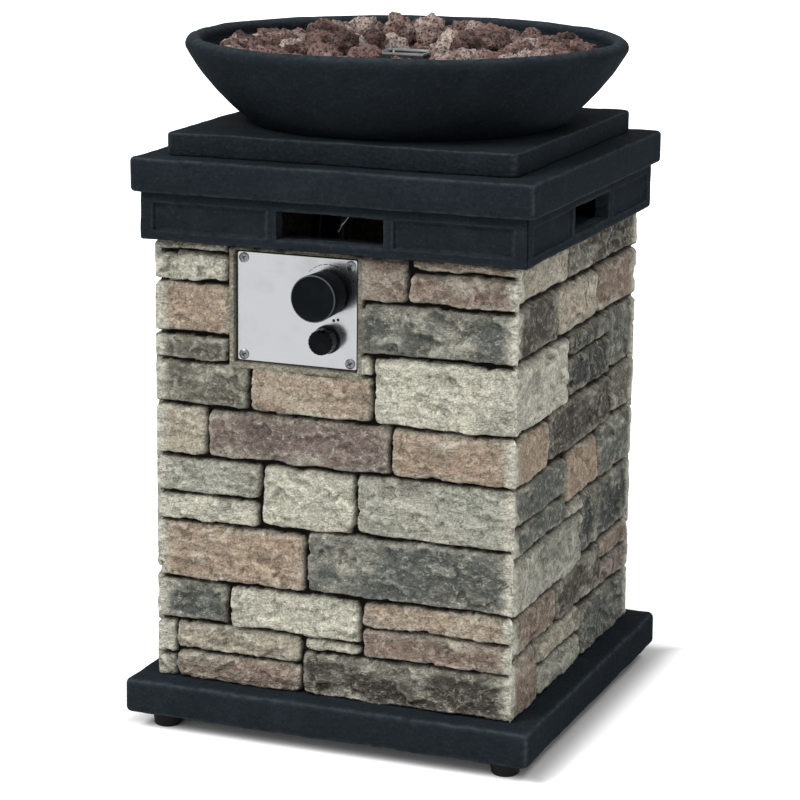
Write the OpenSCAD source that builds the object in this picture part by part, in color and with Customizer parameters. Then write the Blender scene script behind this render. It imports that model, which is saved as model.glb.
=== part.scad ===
// Propane fire column: a stone-faced square column on a plinth, with a fire bowl of lava rock on top.
// Millimetres. The front faces -Y, +X is to the right, +Z is up, and the origin is at the floor's centre.

/* [Base] */
// Height of the rubber feet
foot_h = 18; // [12:1:40]
// Diameter of a foot
foot_d = 30; // [20:1:40]
// Distance of a foot's centre from the plinth's edge
foot_inset = 33; // [20:1:40]
// Width of the square base plinth
base_w = 430; // [415:1:470]
// Height of the base plinth
base_h = 36; // [20:1:60]
// Rounding of the base plinth's edges
base_edge = 6; // [2:0.5:9]
// Rounding of the base plinth's corners in plan
base_corner = 10; // [6:1:20]

/* [Column] */
// Width of the square column over the stone faces
col_w = 380; // [370:1:400]
// Height of the column
col_h = 448; // [440:1:500]
// Height of the stones above their bed
relief = 10; // [6:0.5:12]
// Thickness of the wall behind the stones
wall_t = 16; // [12:1:20]
// Width of the gap between two panels at a corner
mitre_gap = 0.3; // [0.2:0.05:0.6]
// Inset of a stone's top edge
stone_bevel = 4; // [2:0.5:6]
// Wander of a stone's outline
stone_jitter = 1.2; // [0:0.1:1.8]
// Height of the lip that locates the panels
lip_h = 8; // [4:1:12]
// Thickness of that lip
lip_t = 5; // [4:0.5:5.5]

/* [Cap] */
// Width of the frieze
frieze_w = 400; // [396:1:410]
// Height of the frieze
frieze_h = 47; // [44:1:60]
// Wall of the frieze
frieze_wall = 16; // [12:1:20]
// Thickness of the flange that rests on the panels
flange_t = 8; // [6:1:9]
// Width of the slab over the frieze
slab_w = 416; // [412:1:440]
// Height of that slab
slab_h = 34; // [28:1:50]
// Thickness of the slab's top skin
slab_skin = 16; // [10:1:20]
// Diameter of the hole in that skin
slab_hole_d = 210; // [160:1:250]
// Rounding of the slab's edges
slab_edge = 4.5; // [2:0.5:8]
// Width of a vent slot
vent_w = 110; // [80:1:120]
// Height of a vent slot
vent_h = 27; // [15:1:30]
// Width of the rib beside a vent slot
vent_rib = 11; // [8:1:15]
// Distance of the recesses from the frieze's corner
recess_margin = 15; // [10:1:20]
// Depth of the recesses beside a vent slot
recess_depth = 3.5; // [2:0.5:6]
// Height of the vent slots above the frieze's bottom
vent_rise = 10; // [10:0.5:12]

/* [Bowl] */
// Width of the plinth under the bowl
plinth_w = 362; // [340:1:380]
// Height of that plinth
plinth_h = 23; // [16:1:40]
// Rounding of its edges
plinth_edge = 3; // [2:0.5:6]
// Diameter of the hole in that plinth
plinth_hole_d = 150; // [120:1:200]
// Outer radius of the bowl's foot
bowl_foot_r = 158; // [150:1:165]
// Outer radius of the bowl at its rim
bowl_r = 221.5; // [215:0.5:235]
// Height of the bowl
bowl_h = 85; // [80:1:95]
// Radius of the rolled rim
rim_r = 8.5; // [6:0.5:10]
// Thickness of the bowl's floor
bowl_floor_t = 16; // [10:1:20]
// Height of the pan's ledge above the bowl's foot
ledge_z = 44; // [40:1:46]
// Outer radius of the pan's ledge
ledge_r = 180; // [176:1:182]
// Radius of the hole in the bowl's floor
bowl_hole_r = 30; // [29:0.5:34]

/* [Burner] */
// Radius of the burner ring
burner_r = 85; // [70:1:95]
// Outer radius of the burner's tube
burner_tube_r = 7; // [6:0.5:8]
// Wall of the burner's tubes
burner_wall = 1.2; // [0.8:0.1:2]
// Number of gas ports in the ring
ports = 24; // [12:1:36]
// Diameter of a gas port
port_d = 2.4; // [1.5:0.1:3]
// Radius of the burner's hub
hub_r = 14.5; // [14:0.5:16]
// Thickness of the burner pan
pan_t = 1.5; // [1:0.1:3]
// Outer radius of the mixer tube
mixer_r = 12; // [10:0.5:12.5]
// Length of the mixer tube
mixer_l = 92; // [80:1:96]
// Diameter of an air hole in the mixer tube
air_hole_d = 9; // [6:0.5:12]
// Width of the pilot guard
guard_w = 50; // [44:1:56]
// Depth of the pilot guard
guard_d = 40; // [38:1:50]
// Height of the pilot guard
guard_h = 24; // [20:1:30]
// Thickness of the guard's sheet
guard_t = 1.2; // [0.8:0.1:2]

/* [Rocks] */
// Size of a lava rock, across
rock_d = 37; // [30:1:42]
// Gap between neighbouring rocks
rock_gap = 0.5; // [0.3:0.1:1]

/* [Control plate] */
// Width of the control plate
plate_w = 125; // [110:1:130]
// Height of the control plate
plate_h = 107; // [100:1:109]
// Thickness of the control plate
plate_t = 1.5; // [1:0.1:3]
// Plate's centre, to the right of the column's middle
plate_x = -40.5; // [-45:0.5:-38]
// Plate's centre below the column's head
plate_drop = 61.5; // [59:0.5:66]
// Gap between the plate and the stones round it
plate_gap = 2.5; // [1:0.5:4]
// Knob and igniter axis, to the right of the plate's centre
control_shift = 32.5; // [29:0.5:36]
// Knob's axis above the plate's centre
knob_rise = 20.5; // [14:0.5:22]
// Igniter's axis below the plate's centre
igniter_drop = 25.5; // [25:0.5:30]
// Diameter of the knob
knob_d = 46; // [40:0.5:48]
// Depth of the knob
knob_l = 30; // [24:0.5:32]
// Gap between the plate and the knob
knob_gap = 8; // [7:0.5:10]
// Travel of the knob when it is pushed
knob_travel = 5; // [3:0.5:6]
// Diameter of the igniter's button
button_d = 25; // [20:0.5:26]
// Height of the igniter's button
button_l = 15; // [12:0.5:18]
// Travel of the igniter's button
button_travel = 3.5; // [2:0.5:4]

/* [Gas valve] */
// Radius of the valve's body
valve_r = 15; // [13:0.5:17]
// Length of the valve's body behind the plate
valve_l = 48; // [44:1:52]
// Radius of the valve's stem
stem_r = 4; // [3:0.5:5]
// Radius of the inlet's outer thread
inlet_r = 7.94; // [7:0.01:9]
// Length of the inlet's thread
inlet_l = 14; // [12:0.5:18]
// Radius of the feed pipe
pipe_r = 4; // [3:0.5:4.5]
// Radius of the leads
lead_r = 1.5; // [1:0.1:1.8]

/* [Door] */
// Half width of the door's opening
door_half = 158; // [157:0.5:160]
// Gap round the door
door_gap = 3; // [2.5:0.5:4]
// Height of a hinge
hinge_h = 54; // [40:1:70]
// Width of a hinge leaf
leaf_w = 20; // [16:1:22]
// Thickness of a hinge leaf
leaf_t = 2; // [1.5:0.1:3]
// Radius of a hinge knuckle
knuckle_r = 4; // [3.5:0.1:5]
// Radius of a hinge pin
hinge_pin_r = 2; // [1.5:0.1:2.5]
// Height of the lower hinge above the column's foot
hinge_low = 80; // [60:1:120]
// Height of the upper hinge above the column's foot
hinge_high = 360; // [320:1:380]
// Diameter of the door's pull
pull_d = 26; // [20:1:32]
// Height of the pull above the column's foot
pull_z = 222; // [200:1:240]

/* [Fits] */
// Clearance between pieces that are fitted together
seat = 0.3; // [0.2:0.05:0.4]
// Running clearance of a shaft or pin in its hole
run = 0.05; // [0.02:0.01:0.1]

/* [Hidden] */
$fn = 48;

// Heights of the stack
base_top = foot_h + base_h;
col_top = base_top + col_h;
frieze_top = col_top + frieze_h;
slab_top = frieze_top + slab_h;
bowl_z = slab_top + plinth_h;
rim_z = bowl_z + bowl_h;

// Planes of the column wall, from the middle outwards
bed = col_w / 2 - relief;
inner = bed - wall_t;
lip_out = inner - seat;
lip_in = lip_out - lip_t;

// Burner stack
pan_z = bowl_z + ledge_z;
pan_top = pan_z + pan_t;
burner_z = pan_top + burner_tube_r + seat / 2;
burner_top = burner_z + burner_tube_r;
mixer_bore = mixer_r - burner_wall;
hub_top = burner_top + 1;
mixer_top = hub_top - 5;
mixer_foot = mixer_top - mixer_l;
jet_r = mixer_r + 3;
jet_l = 22;
jet_z = mixer_foot - jet_l / 2;

// Pilot pieces stand in two corners of the guard and pass through the pan
spark_r = 3;
probe_r = 2.5;
spark_x = -guard_w / 2 + guard_t + spark_r + seat;
probe_x = guard_w / 2 - guard_t - probe_r - seat;
pilot_y = guard_d / 2 - guard_t - spark_r - seat;
pilot_rise = 12;
pilot_foot = pan_top - pilot_rise;

// Controls
plate_y = -bed - plate_t;
plate_z = col_h - plate_drop;
control_x = plate_x + control_shift;
knob_z = plate_z + knob_rise;
igniter_z = plate_z - igniter_drop;
knob_axis_z = base_top + knob_z;
igniter_axis_z = base_top + igniter_z;
stem_tip = plate_y - knob_gap - knob_l + 8;
stem_root = -bed + 12;
pin_l = 10;
bore_end = stem_root + pin_l + knob_travel + 1;
valve_back = -bed + valve_l;
valve_hole_r = 25;
igniter_hole_r = 14;
barrel_r = 10.5;
barrel_l = 68;
battery_r = 5.25;
battery_l = 44.5;
port_y = -bed + 36;
inlet_hex_l = 9;
elbow_r = 10;
elbow_x = control_x - valve_r - 2 - inlet_hex_l - elbow_r;
valve_port_shift = 20;
outlet_top = knob_axis_z + 28;

// Door and hinges
door_edge = door_half - door_gap;
door_foot = base_top + door_gap;
door_head = col_top - door_gap;
hinge_y = col_w / 2 + leaf_t + knuckle_r - 1;
hinge_x = door_half - door_gap / 2;
pad_h = hinge_h + 12;
leaf_reach = sqrt(2 * knuckle_r - 1) + 0.5;
pull_inset = 24;

// Colours, as the photo shows them
cast_black = [0.13, 0.15, 0.17];
stone_tan = [0.62, 0.56, 0.47];
steel = [0.80, 0.81, 0.82];
brass = [0.75, 0.62, 0.32];
lava = [0.42, 0.33, 0.30];
rubber = [0.07, 0.07, 0.08];

// Stones of the front face: left, right, bottom and top, from the lower left corner of the face
front_stones = [
    [0, 20, 0, 22], [0, 20, 24, 58], [22, 156, 0, 28], [22, 156, 31, 58], [159, 380, 0, 44],
    [0, 77, 62, 102], [81, 219, 60, 102], [223, 380, 47, 76], [223, 380, 78, 103],
    [0, 160, 106, 162], [164, 380, 107, 168], [0, 112, 165, 191], [0, 112, 194, 229],
    [116, 213, 169, 229], [217, 380, 171, 230], [0, 54, 233, 282], [57, 249, 233, 281],
    [252, 380, 233, 281], [0, 100, 285, 327], [104, 229, 284, 327], [233, 380, 284, 348],
    [0, 79, 330, 353], [0, 80, 357, 406], [218, 380, 352, 400], [0, 78, 409, 435],
    [217, 264, 403, 447], [268, 380, 404, 434], [160, 219, 47, 58], [217, 230, 330, 349]
];
// Thin courses under the cap
front_courses = [[0, 76, 438, 448], [268, 380, 437, 448]];
// Thin stones over the control plate
plate_stones = [[84, 132, 443, 448], [135, 214, 443, 448]];
// Stones that fill the plate's place on the rear face
rear_stones = [[84, 214, 331, 378], [84, 150, 381, 447], [154, 213, 381, 447]];
// Stones of the right face, from its front edge
right_stones = [
    [0, 78, 0, 58], [81, 217, 0, 30], [81, 217, 33, 59], [221, 380, 0, 54], [0, 136, 62, 101],
    [140, 281, 62, 107], [285, 380, 58, 85], [285, 380, 88, 110], [0, 213, 105, 160],
    [217, 380, 114, 177], [0, 161, 163, 190], [0, 161, 193, 229], [165, 263, 180, 231],
    [267, 380, 181, 237], [0, 101, 233, 280], [105, 304, 236, 284], [308, 380, 241, 288],
    [0, 158, 284, 352], [163, 297, 289, 327], [163, 297, 331, 354], [301, 380, 292, 355],
    [0, 120, 357, 406], [124, 245, 358, 406], [249, 380, 359, 406], [0, 149, 412, 448],
    [155, 380, 411, 448], [164, 214, 163, 177]
];

// Face that the lists of stones are drawn for
list_w = max([for (s = right_stones) s[1]]);
list_h = max([for (s = right_stones) s[3]]);

// Rings of rocks from the middle out: radius, count, height over the pan and share of the rock's size
rock_rings = [
    [burner_r - 32, 10, 19, 1], [burner_r, 15, 32, 1], [burner_r + 35, 21, 20, 1],
    [burner_r + 67, 27, 17, 0.95], [ledge_r + 2, 32, 19, 0.88]
];

// Top of the bowl's inner wall, from the bowl's axis and foot
wall_top_r = bowl_r - 2 * rim_r + 0.6;
wall_top_z = bowl_h - rim_r - 3;

// Points on a circle's arc
function arc(x, y, r, from, to, steps) =
    [for (i = [0:steps]) let (a = from + (to - from) * i / steps) [x + r * cos(a), y + r * sin(a)]];

// Point on a cubic curve with four control points
function curve_point(p, t) =
    p[0] * pow(1 - t, 3) + p[1] * 3 * t * pow(1 - t, 2) + p[2] * 3 * t * t * (1 - t) + p[3] * pow(t, 3);

// Points along a cubic curve
function curve(p, steps) = [for (i = [0:steps]) curve_point(p, i / steps)];

// Solid through a stack of rings, closed flat at the start and by a point at the end
module loft(rings, tip) {
    n = len(rings[0]);
    last = len(rings) - 1;
    points = [for (r = rings) each r];
    sides = [
        for (k = [0:last - 1]) for (j = [0:n - 1])
            let (a = k * n + j, d = k * n + (j + 1) % n)
                each [[a, a + n, d + n], [a, d + n, d]]
    ];
    foot = [for (j = [1:n - 2]) [0, j, j + 1]];
    head = [for (j = [0:n - 1]) [len(points), last * n + (j + 1) % n, last * n + j]];
    polyhedron(concat(points, [tip]), concat(sides, foot, head));
}

// Tube along a route of points, with flat ends
module sweep(route, r, sides = 8) {
    n = len(route);
    function unit(v) = v / norm(v);
    function heading(i) = unit(route[min(i + 1, n - 1)] - route[max(i - 1, 0)]);
    rings = [
        for (i = [0:n - 1])
            let (t = heading(i), u = unit(cross(t, [0.31, 0.93, 0.2])), v = cross(t, u))
                [for (k = [0:sides - 1]) route[i] + r * (u * cos(360 * k / sides) + v * sin(360 * k / sides))]
    ];
    points = [for (ring = rings) each ring];
    faces = concat(
        [for (i = [0:n - 2]) for (k = [0:sides - 1])
            let (a = i * sides + k, d = i * sides + (k + 1) % sides)
                each [[a, a + sides, d + sides], [a, d + sides, d]]],
        [[for (k = [0:sides - 1]) k]],
        [[for (k = [0:sides - 1]) n * sides - 1 - k]]
    );
    polyhedron(points, faces);
}

// Square with round corners, built of true arcs
module round_square(w, d, r) {
    square([w - 2 * r, d], center = true);
    square([w, d - 2 * r], center = true);
    for (x = [-1, 1], y = [-1, 1])
        translate([x * (w / 2 - r), y * (d / 2 - r)]) circle(r);
}

// Square slab with rounded edges and corners, standing on z = 0
module soft_slab(w, h, edge, corner) {
    intersection() {
        linear_extrude(h) round_square(w, w, corner);
        translate([0, w / 2, h / 2]) rotate([90, 0, 0]) linear_extrude(w) round_square(w, h, edge);
        translate([-w / 2, 0, h / 2]) rotate([90, 0, 90]) linear_extrude(w) round_square(w, h, edge);
    }
}

// Square frame between two half widths
module square_ring(out, in, h) {
    linear_extrude(h) difference() {
        square(2 * out, center = true);
        square(2 * in, center = true);
    }
}

// Cylinder along +Y
module rod_y(r, l) {
    rotate([-90, 0, 0]) cylinder(r = r, h = l);
}

// Stone relief

// Outline of a stone with cut corners, counter-clockwise
function stone_outline(s, wander) =
    let (c = min(6, (s[1] - s[0]) / 4, (s[3] - s[2]) / 4), m = (s[0] + s[1]) / 2)
        [[s[0] + c, s[2]], [m + wander[0] * 8, s[2] + 0.4], [s[1] - c, s[2]], [s[1], s[2] + c],
         [s[1], s[3] - c], [s[1] - c, s[3]], [m + wander[1] * 8, s[3] - 0.4], [s[0] + c, s[3]],
         [s[0], s[3] - c], [s[0], s[2] + c]];

// A stone's ring at one depth above the bed, held inside the panel's mitred ends
function stone_ring(s, depth, inset, seed) =
    let (
        wander = rands(-1, 1, 32, seed),
        outline = stone_outline(s, wander),
        mid = [(s[0] + s[1]) / 2, (s[2] + s[3]) / 2],
        half = [(s[1] - s[0]) / 2, (s[3] - s[2]) / 2],
        end = bed + depth - mitre_gap - inset * 1.3
    )
        [for (i = [0:len(outline) - 1])
            let (
                x = mid[0] + (outline[i][0] - mid[0]) * (1 - min(0.4, inset / half[0]))
                    + stone_jitter * wander[2 + i],
                z = mid[1] + (outline[i][1] - mid[1]) * (1 - min(0.4, inset / half[1]))
                    + stone_jitter * 0.7 * wander[12 + i]
            )
                [min(end, max(-end, x)), -bed - depth, min(col_h - 0.2, max(0.2, z))]];

// One stone, given in the panel's own width and height
module stone(s, seed) {
    tall = relief * rands(0.82, 0.97, 1, seed + 500)[0];
    mid = [(s[0] + s[1]) / 2, (s[2] + s[3]) / 2];
    loft(
        [stone_ring(s, -2, 0, seed), stone_ring(s, tall * 0.6, 0.6, seed),
         stone_ring(s, tall * 0.93, min(stone_bevel, (s[3] - s[2]) / 4), seed)],
        [mid[0], -bed - tall, mid[1]]
    );
}

// Stones of a list between two limits of the face, cut to fit
module stones(list, seed, low = -col_w, high = col_w) {
    for (i = [0:len(list) - 1]) {
        left = max(low, list[i][0] * col_w / list_w - col_w / 2);
        right = min(high, list[i][1] * col_w / list_w - col_w / 2);
        if (right - left > 6)
            stone([left, right, list[i][2] * col_h / list_h, list[i][3] * col_h / list_h], seed + i);
    }
}

// Wall between two limits, with mitred ends where the limits reach the corners
module wall(low = -col_w, high = col_w) {
    function at(x, y) = min(y - mitre_gap, max(mitre_gap - y, x));
    linear_extrude(col_h)
        polygon([
            [at(low, inner), -inner], [at(low, bed), -bed], [at(high, bed), -bed], [at(high, inner), -inner]
        ]);
}

module front_panel() {
    color(stone_tan) translate([0, 0, base_top]) {
        difference() {
            wall();
            translate([control_x, -bed - 1, knob_z]) rod_y(valve_hole_r, wall_t + 2);
            translate([control_x, -bed - 1, igniter_z]) rod_y(igniter_hole_r, wall_t + 2);
        }
        difference() {
            union() {
                stones(front_stones, 11);
                stones(front_courses, 61);
                stones(plate_stones, 71);
            }
            translate([plate_x - plate_w / 2 - plate_gap, -bed - relief - 1,
                       plate_z - plate_h / 2 - plate_gap])
                cube([plate_w + 2 * plate_gap, relief + 1, plate_h + 2 * plate_gap]);
        }
    }
}

module side_panel(seed) {
    translate([0, 0, base_top]) {
        wall();
        stones(right_stones, seed);
    }
}

module right_panel() {
    color(stone_tan) rotate(90) side_panel(111);
}

module left_panel() {
    color(stone_tan) rotate(-90) side_panel(211);
}

// Flat pads that carry the hinge leaves, from the wall to the stone plane
module hinge_pads(low, high) {
    root = bed - 1;
    top = col_w / 2;
    function at(x, y) = max(mitre_gap - y, x);
    for (z = [hinge_low, hinge_high])
        translate([0, 0, z - pad_h / 2]) linear_extrude(pad_h)
            polygon([[at(low, root), -root], [at(low, top), -top], [high, -top], [high, -root]]);
}

module left_jamb() {
    color(stone_tan) rotate(180) translate([0, 0, base_top]) {
        wall(low = door_half);
        stones(concat(front_stones, front_courses), 311, low = door_half + 1);
    }
}

module right_jamb() {
    color(stone_tan) rotate(180) translate([0, 0, base_top]) {
        wall(high = -door_half);
        stones(concat(front_stones, front_courses), 361, high = -door_half - 1);
        hinge_pads(-col_w / 2 + relief / 2 + mitre_gap, -door_half);
    }
}

module access_door() {
    color(stone_tan) rotate(180) translate([0, 0, base_top]) intersection() {
        union() {
            wall(-door_edge, door_edge);
            stones(concat(front_stones, rear_stones, front_courses), 411, 1 - door_edge, door_edge - 1);
            hinge_pads(-door_edge, leaf_w + 8 - door_edge);
            translate([door_edge - pull_inset, -bed + 1, pull_z]) rotate([90, 0, 0])
                cylinder(d = pull_d, h = relief + 1);
        }
        translate([-col_w / 2, -col_w / 2 - 1, door_gap]) cube([col_w, col_w, col_h - 2 * door_gap]);
    }
}

// Base

module base_plinth() {
    color(cast_black) difference() {
        union() {
            translate([0, 0, foot_h]) soft_slab(base_w, base_h, base_edge, base_corner);
            translate([0, 0, base_top - 1]) square_ring(lip_out, lip_in, lip_h + 1);
        }
        translate([-lip_in, -lip_in, foot_h - 1]) cube([2 * lip_in, 2 * lip_in, base_h + lip_h + 2]);
    }
}

module feet() {
    reach = base_w / 2 - foot_inset;
    color(rubber) for (x = [-1, 1], y = [-1, 1])
        translate([x * reach, y * reach]) rotate_extrude()
            polygon([[0, 0], [foot_d / 2 - 3, 0], [foot_d / 2 - 1, 2], [foot_d / 2, foot_h], [0, foot_h]]);
}

// Cap

// Recesses and the vent slot of one side of the frieze
module frieze_cuts() {
    slot_z = col_top + vent_rise;
    recess_w = frieze_w / 2 - recess_margin - vent_rib - vent_w / 2;
    translate([-vent_w / 2, -frieze_w / 2 - 1, slot_z]) cube([vent_w, frieze_wall + 2, vent_h]);
    for (s = [-1, 1])
        translate([s * (vent_w / 2 + vent_rib + recess_w / 2) - recess_w / 2, -frieze_w / 2 - 1, slot_z])
            cube([recess_w, recess_depth + 1, vent_h]);
}

module top_cap() {
    hollow = frieze_w / 2 - frieze_wall;
    color(cast_black) difference() {
        union() {
            translate([-frieze_w / 2, -frieze_w / 2, col_top]) cube([frieze_w, frieze_w, frieze_h + 1]);
            translate([0, 0, frieze_top]) soft_slab(slab_w, slab_h, slab_edge, slab_edge * 2);
            translate([0, 0, col_top - lip_h]) square_ring(lip_out, lip_in, lip_h + 1);
        }
        translate([-hollow, -hollow, col_top + flange_t])
            cube([2 * hollow, 2 * hollow, frieze_h + slab_h - slab_skin - flange_t]);
        translate([-lip_in, -lip_in, col_top - lip_h - 1])
            cube([2 * lip_in, 2 * lip_in, lip_h + flange_t + 2]);
        translate([0, 0, slab_top - slab_skin - 1]) cylinder(d = slab_hole_d, h = slab_skin + 2);
        for (a = [0:90:270]) rotate(a) frieze_cuts();
    }
}

module bowl_plinth() {
    color(cast_black) difference() {
        translate([0, 0, slab_top]) soft_slab(plinth_w, plinth_h, plinth_edge, plinth_edge * 3);
        translate([0, 0, slab_top - 1]) cylinder(d = plinth_hole_d, h = plinth_h + 2);
    }
}

// Bowl and burner

module fire_bowl() {
    rim_x = bowl_r - rim_r;
    rim_mid = bowl_h - rim_r;
    outer = curve([[bowl_foot_r + 1, 2], [bowl_foot_r + 26, 24], [bowl_r - 16, 46],
                   [bowl_r - 0.3, rim_mid - 2]], 10);
    ledge_in = ledge_r - 14;
    floor_in = curve([[ledge_in, ledge_z - 4], [ledge_in - 10, bowl_floor_t + 8],
                      [ledge_in - 26, bowl_floor_t + 1],
                      [ledge_in - 56, bowl_floor_t]], 6);
    color(cast_black) translate([0, 0, bowl_z]) rotate_extrude() {
        polygon(concat(
            [[bowl_hole_r, 0], [bowl_foot_r - 1, 0]], outer, [[rim_x, rim_mid], [wall_top_r, wall_top_z]],
            [[ledge_r, ledge_z], [ledge_in, ledge_z]], floor_in, [[bowl_hole_r, bowl_floor_t]]
        ));
        translate([rim_x, rim_mid]) circle(rim_r);
    }
}

module burner_pan() {
    color(steel) translate([0, 0, pan_z]) difference() {
        cylinder(r = ledge_r - 1, h = pan_t);
        translate([0, 0, -1]) cylinder(r = hub_r + 3, h = pan_t + 2);
        translate([spark_x, pilot_y, -1]) cylinder(r = spark_r + run, h = pan_t + 2);
        translate([probe_x, pilot_y, -1]) cylinder(r = probe_r + run, h = pan_t + 2);
    }
}

module burner_ring() {
    bore_r = burner_tube_r - burner_wall;
    arm = burner_r - hub_r / 2;
    color(steel) translate([0, 0, burner_z]) difference() {
        union() {
            rotate_extrude() translate([burner_r, 0]) circle(burner_tube_r);
            for (a = [0, 180]) rotate(a) translate([hub_r / 2, 0, 0]) rotate([0, 90, 0])
                cylinder(r = burner_tube_r - 0.5, h = arm);
            translate([0, 0, -burner_tube_r - 6])
                cylinder(r = hub_r, h = hub_top - burner_z + burner_tube_r + 6);
        }
        rotate_extrude() translate([burner_r, 0]) circle(bore_r);
        for (a = [0, 180]) rotate(a) rotate([0, 90, 0]) cylinder(r = bore_r - 0.8, h = burner_r);
        translate([0, 0, -burner_tube_r - 7])
            cylinder(r = mixer_r + run, h = mixer_top - burner_z + burner_tube_r + 7);
        for (i = [0:ports - 1]) rotate((i + 0.5) * 360 / ports) translate([burner_r, 0, 0])
            cylinder(d = port_d, h = burner_tube_r + 1);
    }
}

module mixer_tube() {
    color(steel) translate([0, 0, mixer_foot]) difference() {
        cylinder(r = mixer_r, h = mixer_l);
        translate([0, 0, -1]) cylinder(r = mixer_bore, h = mixer_l + 2);
        for (a = [45, 135]) rotate(a) translate([-mixer_r - 1, 0, 14]) rotate([0, 90, 0])
            cylinder(d = air_hole_d, h = 2 * mixer_r + 2);
        for (a = [0, 180]) rotate(a) translate([0, 0, burner_z - mixer_foot]) rotate([0, 90, 0])
            cylinder(r = burner_tube_r - burner_wall - 0.8, h = mixer_r + 1);
    }
}

module lock_nut() {
    h = 10;
    color(steel) translate([0, 0, bowl_z - h]) difference() {
        cylinder(r = bowl_hole_r + 8, h = h, $fn = 6);
        translate([0, 0, -1]) cylinder(r = mixer_r + run, h = h + 2);
        for (x = [spark_x, probe_x])
            translate([x, pilot_y, -1]) cylinder(r = lead_r + 1, h = h + 2);
    }
}

module gas_jet() {
    color(brass) difference() {
        union() {
            translate([0, 0, mixer_foot - jet_l]) cylinder(r = jet_r, h = jet_l, $fn = 6);
            translate([0, 0, mixer_foot - 1]) cylinder(r = mixer_bore - run, h = 5);
            translate([0, 0, mixer_foot]) cylinder(r = 4, h = 9);
            translate([0, -jet_r - 10, jet_z]) rod_y(7, jet_r + 10);
        }
        translate([0, 0, jet_z]) cylinder(r = 0.8, h = jet_l + 9);
        translate([0, -jet_r - 11, jet_z]) rod_y(pipe_r - 1, jet_r + 11);
    }
}

pipe_route = concat(
    [[control_x, port_y, outlet_top + 0.2], [control_x, port_y, outlet_top + 8]],
    curve([[control_x, port_y, outlet_top + 10], [control_x, port_y, jet_z + 4],
           [0, -90, jet_z], [0, -40, jet_z]], 10),
    [[0, -jet_r - 18, jet_z], [0, -jet_r - 10.2, jet_z]]
);

module feed_pipe() {
    color(brass) sweep(pipe_route, pipe_r - 0.2);
}

module feed_nuts() {
    color(brass) {
        translate([control_x, port_y, outlet_top + 0.2]) difference() {
            cylinder(r = 8.5, h = 7, $fn = 6);
            translate([0, 0, -1]) cylinder(r = pipe_r, h = 9);
        }
        translate([0, -jet_r - 10.2, jet_z]) rotate([90, 0, 0]) difference() {
            cylinder(r = 8.5, h = 7, $fn = 6);
            translate([0, 0, -1]) cylinder(r = pipe_r, h = 9);
        }
    }
}

module heat_shield() {
    color(steel) translate([0, 0, slab_top - slab_skin - 1.2]) difference() {
        cylinder(d = slab_hole_d + 40, h = 1.2);
        translate([0, 0, -1]) cylinder(r = bowl_hole_r + 4, h = 4);
    }
}

module pilot_guard() {
    color(steel) translate([0, 0, pan_top + seat / 2]) difference() {
        linear_extrude(guard_h) difference() {
            square([guard_w, guard_d], center = true);
            square([guard_w - 2 * guard_t, guard_d - 2 * guard_t], center = true);
        }
        translate([-guard_w / 2 - 1, -burner_tube_r, -1])
            cube([guard_w + 2, 2 * burner_tube_r, 2 * burner_tube_r + 1]);
        for (s = [-1, 1]) for (z = [0.45, 0.75])
            translate([s * guard_w / 5, 0, guard_h * z]) rotate([90, 0, 0])
                cylinder(d = 4, h = guard_d + 2, center = true);
    }
}

module electrode() {
    color("white") translate([spark_x, pilot_y, pilot_foot]) {
        cylinder(r = spark_r, h = pilot_rise + guard_h - 8);
        cylinder(r = 1, h = pilot_rise + guard_h - 2);
    }
}

module thermocouple() {
    color(brass) translate([probe_x, pilot_y, pilot_foot]) {
        cylinder(r = probe_r, h = pilot_rise + guard_h - 5);
        translate([0, 0, pilot_rise + guard_h - 5]) sphere(probe_r);
    }
}

// Route of a lead from under the cap to a pilot piece, straight up through the lock nut at the end
function lead_rise(x, from) = concat(
    curve([from, [from[0], -120, slab_top - 22], [x, -40, slab_top - 42], [x, pilot_y, slab_top - 32]], 8),
    [for (z = [slab_top - 24, slab_top, bowl_z + 10, pilot_foot - seat]) [x, pilot_y, z]]
);

module thermocouple_lead() {
    port_x = control_x + valve_port_shift;
    color(brass) sweep(concat(
        [[port_x, valve_back + 8, knob_axis_z]],
        curve([[port_x, valve_back + 14, knob_axis_z], [port_x + 8, valve_back + 22, knob_axis_z + 20],
               [-18, -168, col_top + 6], [-2, -162, col_top + 22]], 8),
        lead_rise(probe_x, [4, -156, col_top + 32])
    ), lead_r);
}

module ignition_lead() {
    start = [control_x - barrel_r - seat, -bed + barrel_l - 8, igniter_axis_z];
    color([0.75, 0.2, 0.15]) sweep(concat(
        [start],
        curve([start - [6, 0, 0], start - [20, 0, 0], [elbow_x, start[1] + 3, igniter_axis_z + 30],
               [elbow_x, start[1] + 3, igniter_axis_z + 80]], 8),
        lead_rise(spark_x, [elbow_x, start[1] + 1, igniter_axis_z + 92])
    ), lead_r);
}

// Controls

module plate_places() {
    for (x = [-1, 1], z = [-1, 1])
        translate([plate_x + x * (plate_w / 2 - 6.5), -bed, base_top + plate_z + z * (plate_h / 2 - 5.5)])
            children();
}

module valve_screw_places() {
    for (s = [-1, 1]) translate([control_x + s * 12, -bed, knob_axis_z]) children();
}

module control_plate() {
    color(steel) difference() {
        translate([plate_x, -bed, base_top + plate_z]) rotate([90, 0, 0])
            linear_extrude(plate_t) round_square(plate_w, plate_h, 2);
        translate([control_x, plate_y - 1, knob_axis_z]) rod_y(stem_r + 1.5, plate_t + 2);
        translate([control_x, plate_y - 1, igniter_axis_z]) rod_y(barrel_r + run, plate_t + 2);
        plate_places() translate([0, -plate_t - 1, 0]) rod_y(2.2, plate_t + 2);
        valve_screw_places() translate([0, -plate_t - 1, 0]) rod_y(2.2, plate_t + 2);
    }
}

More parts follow.
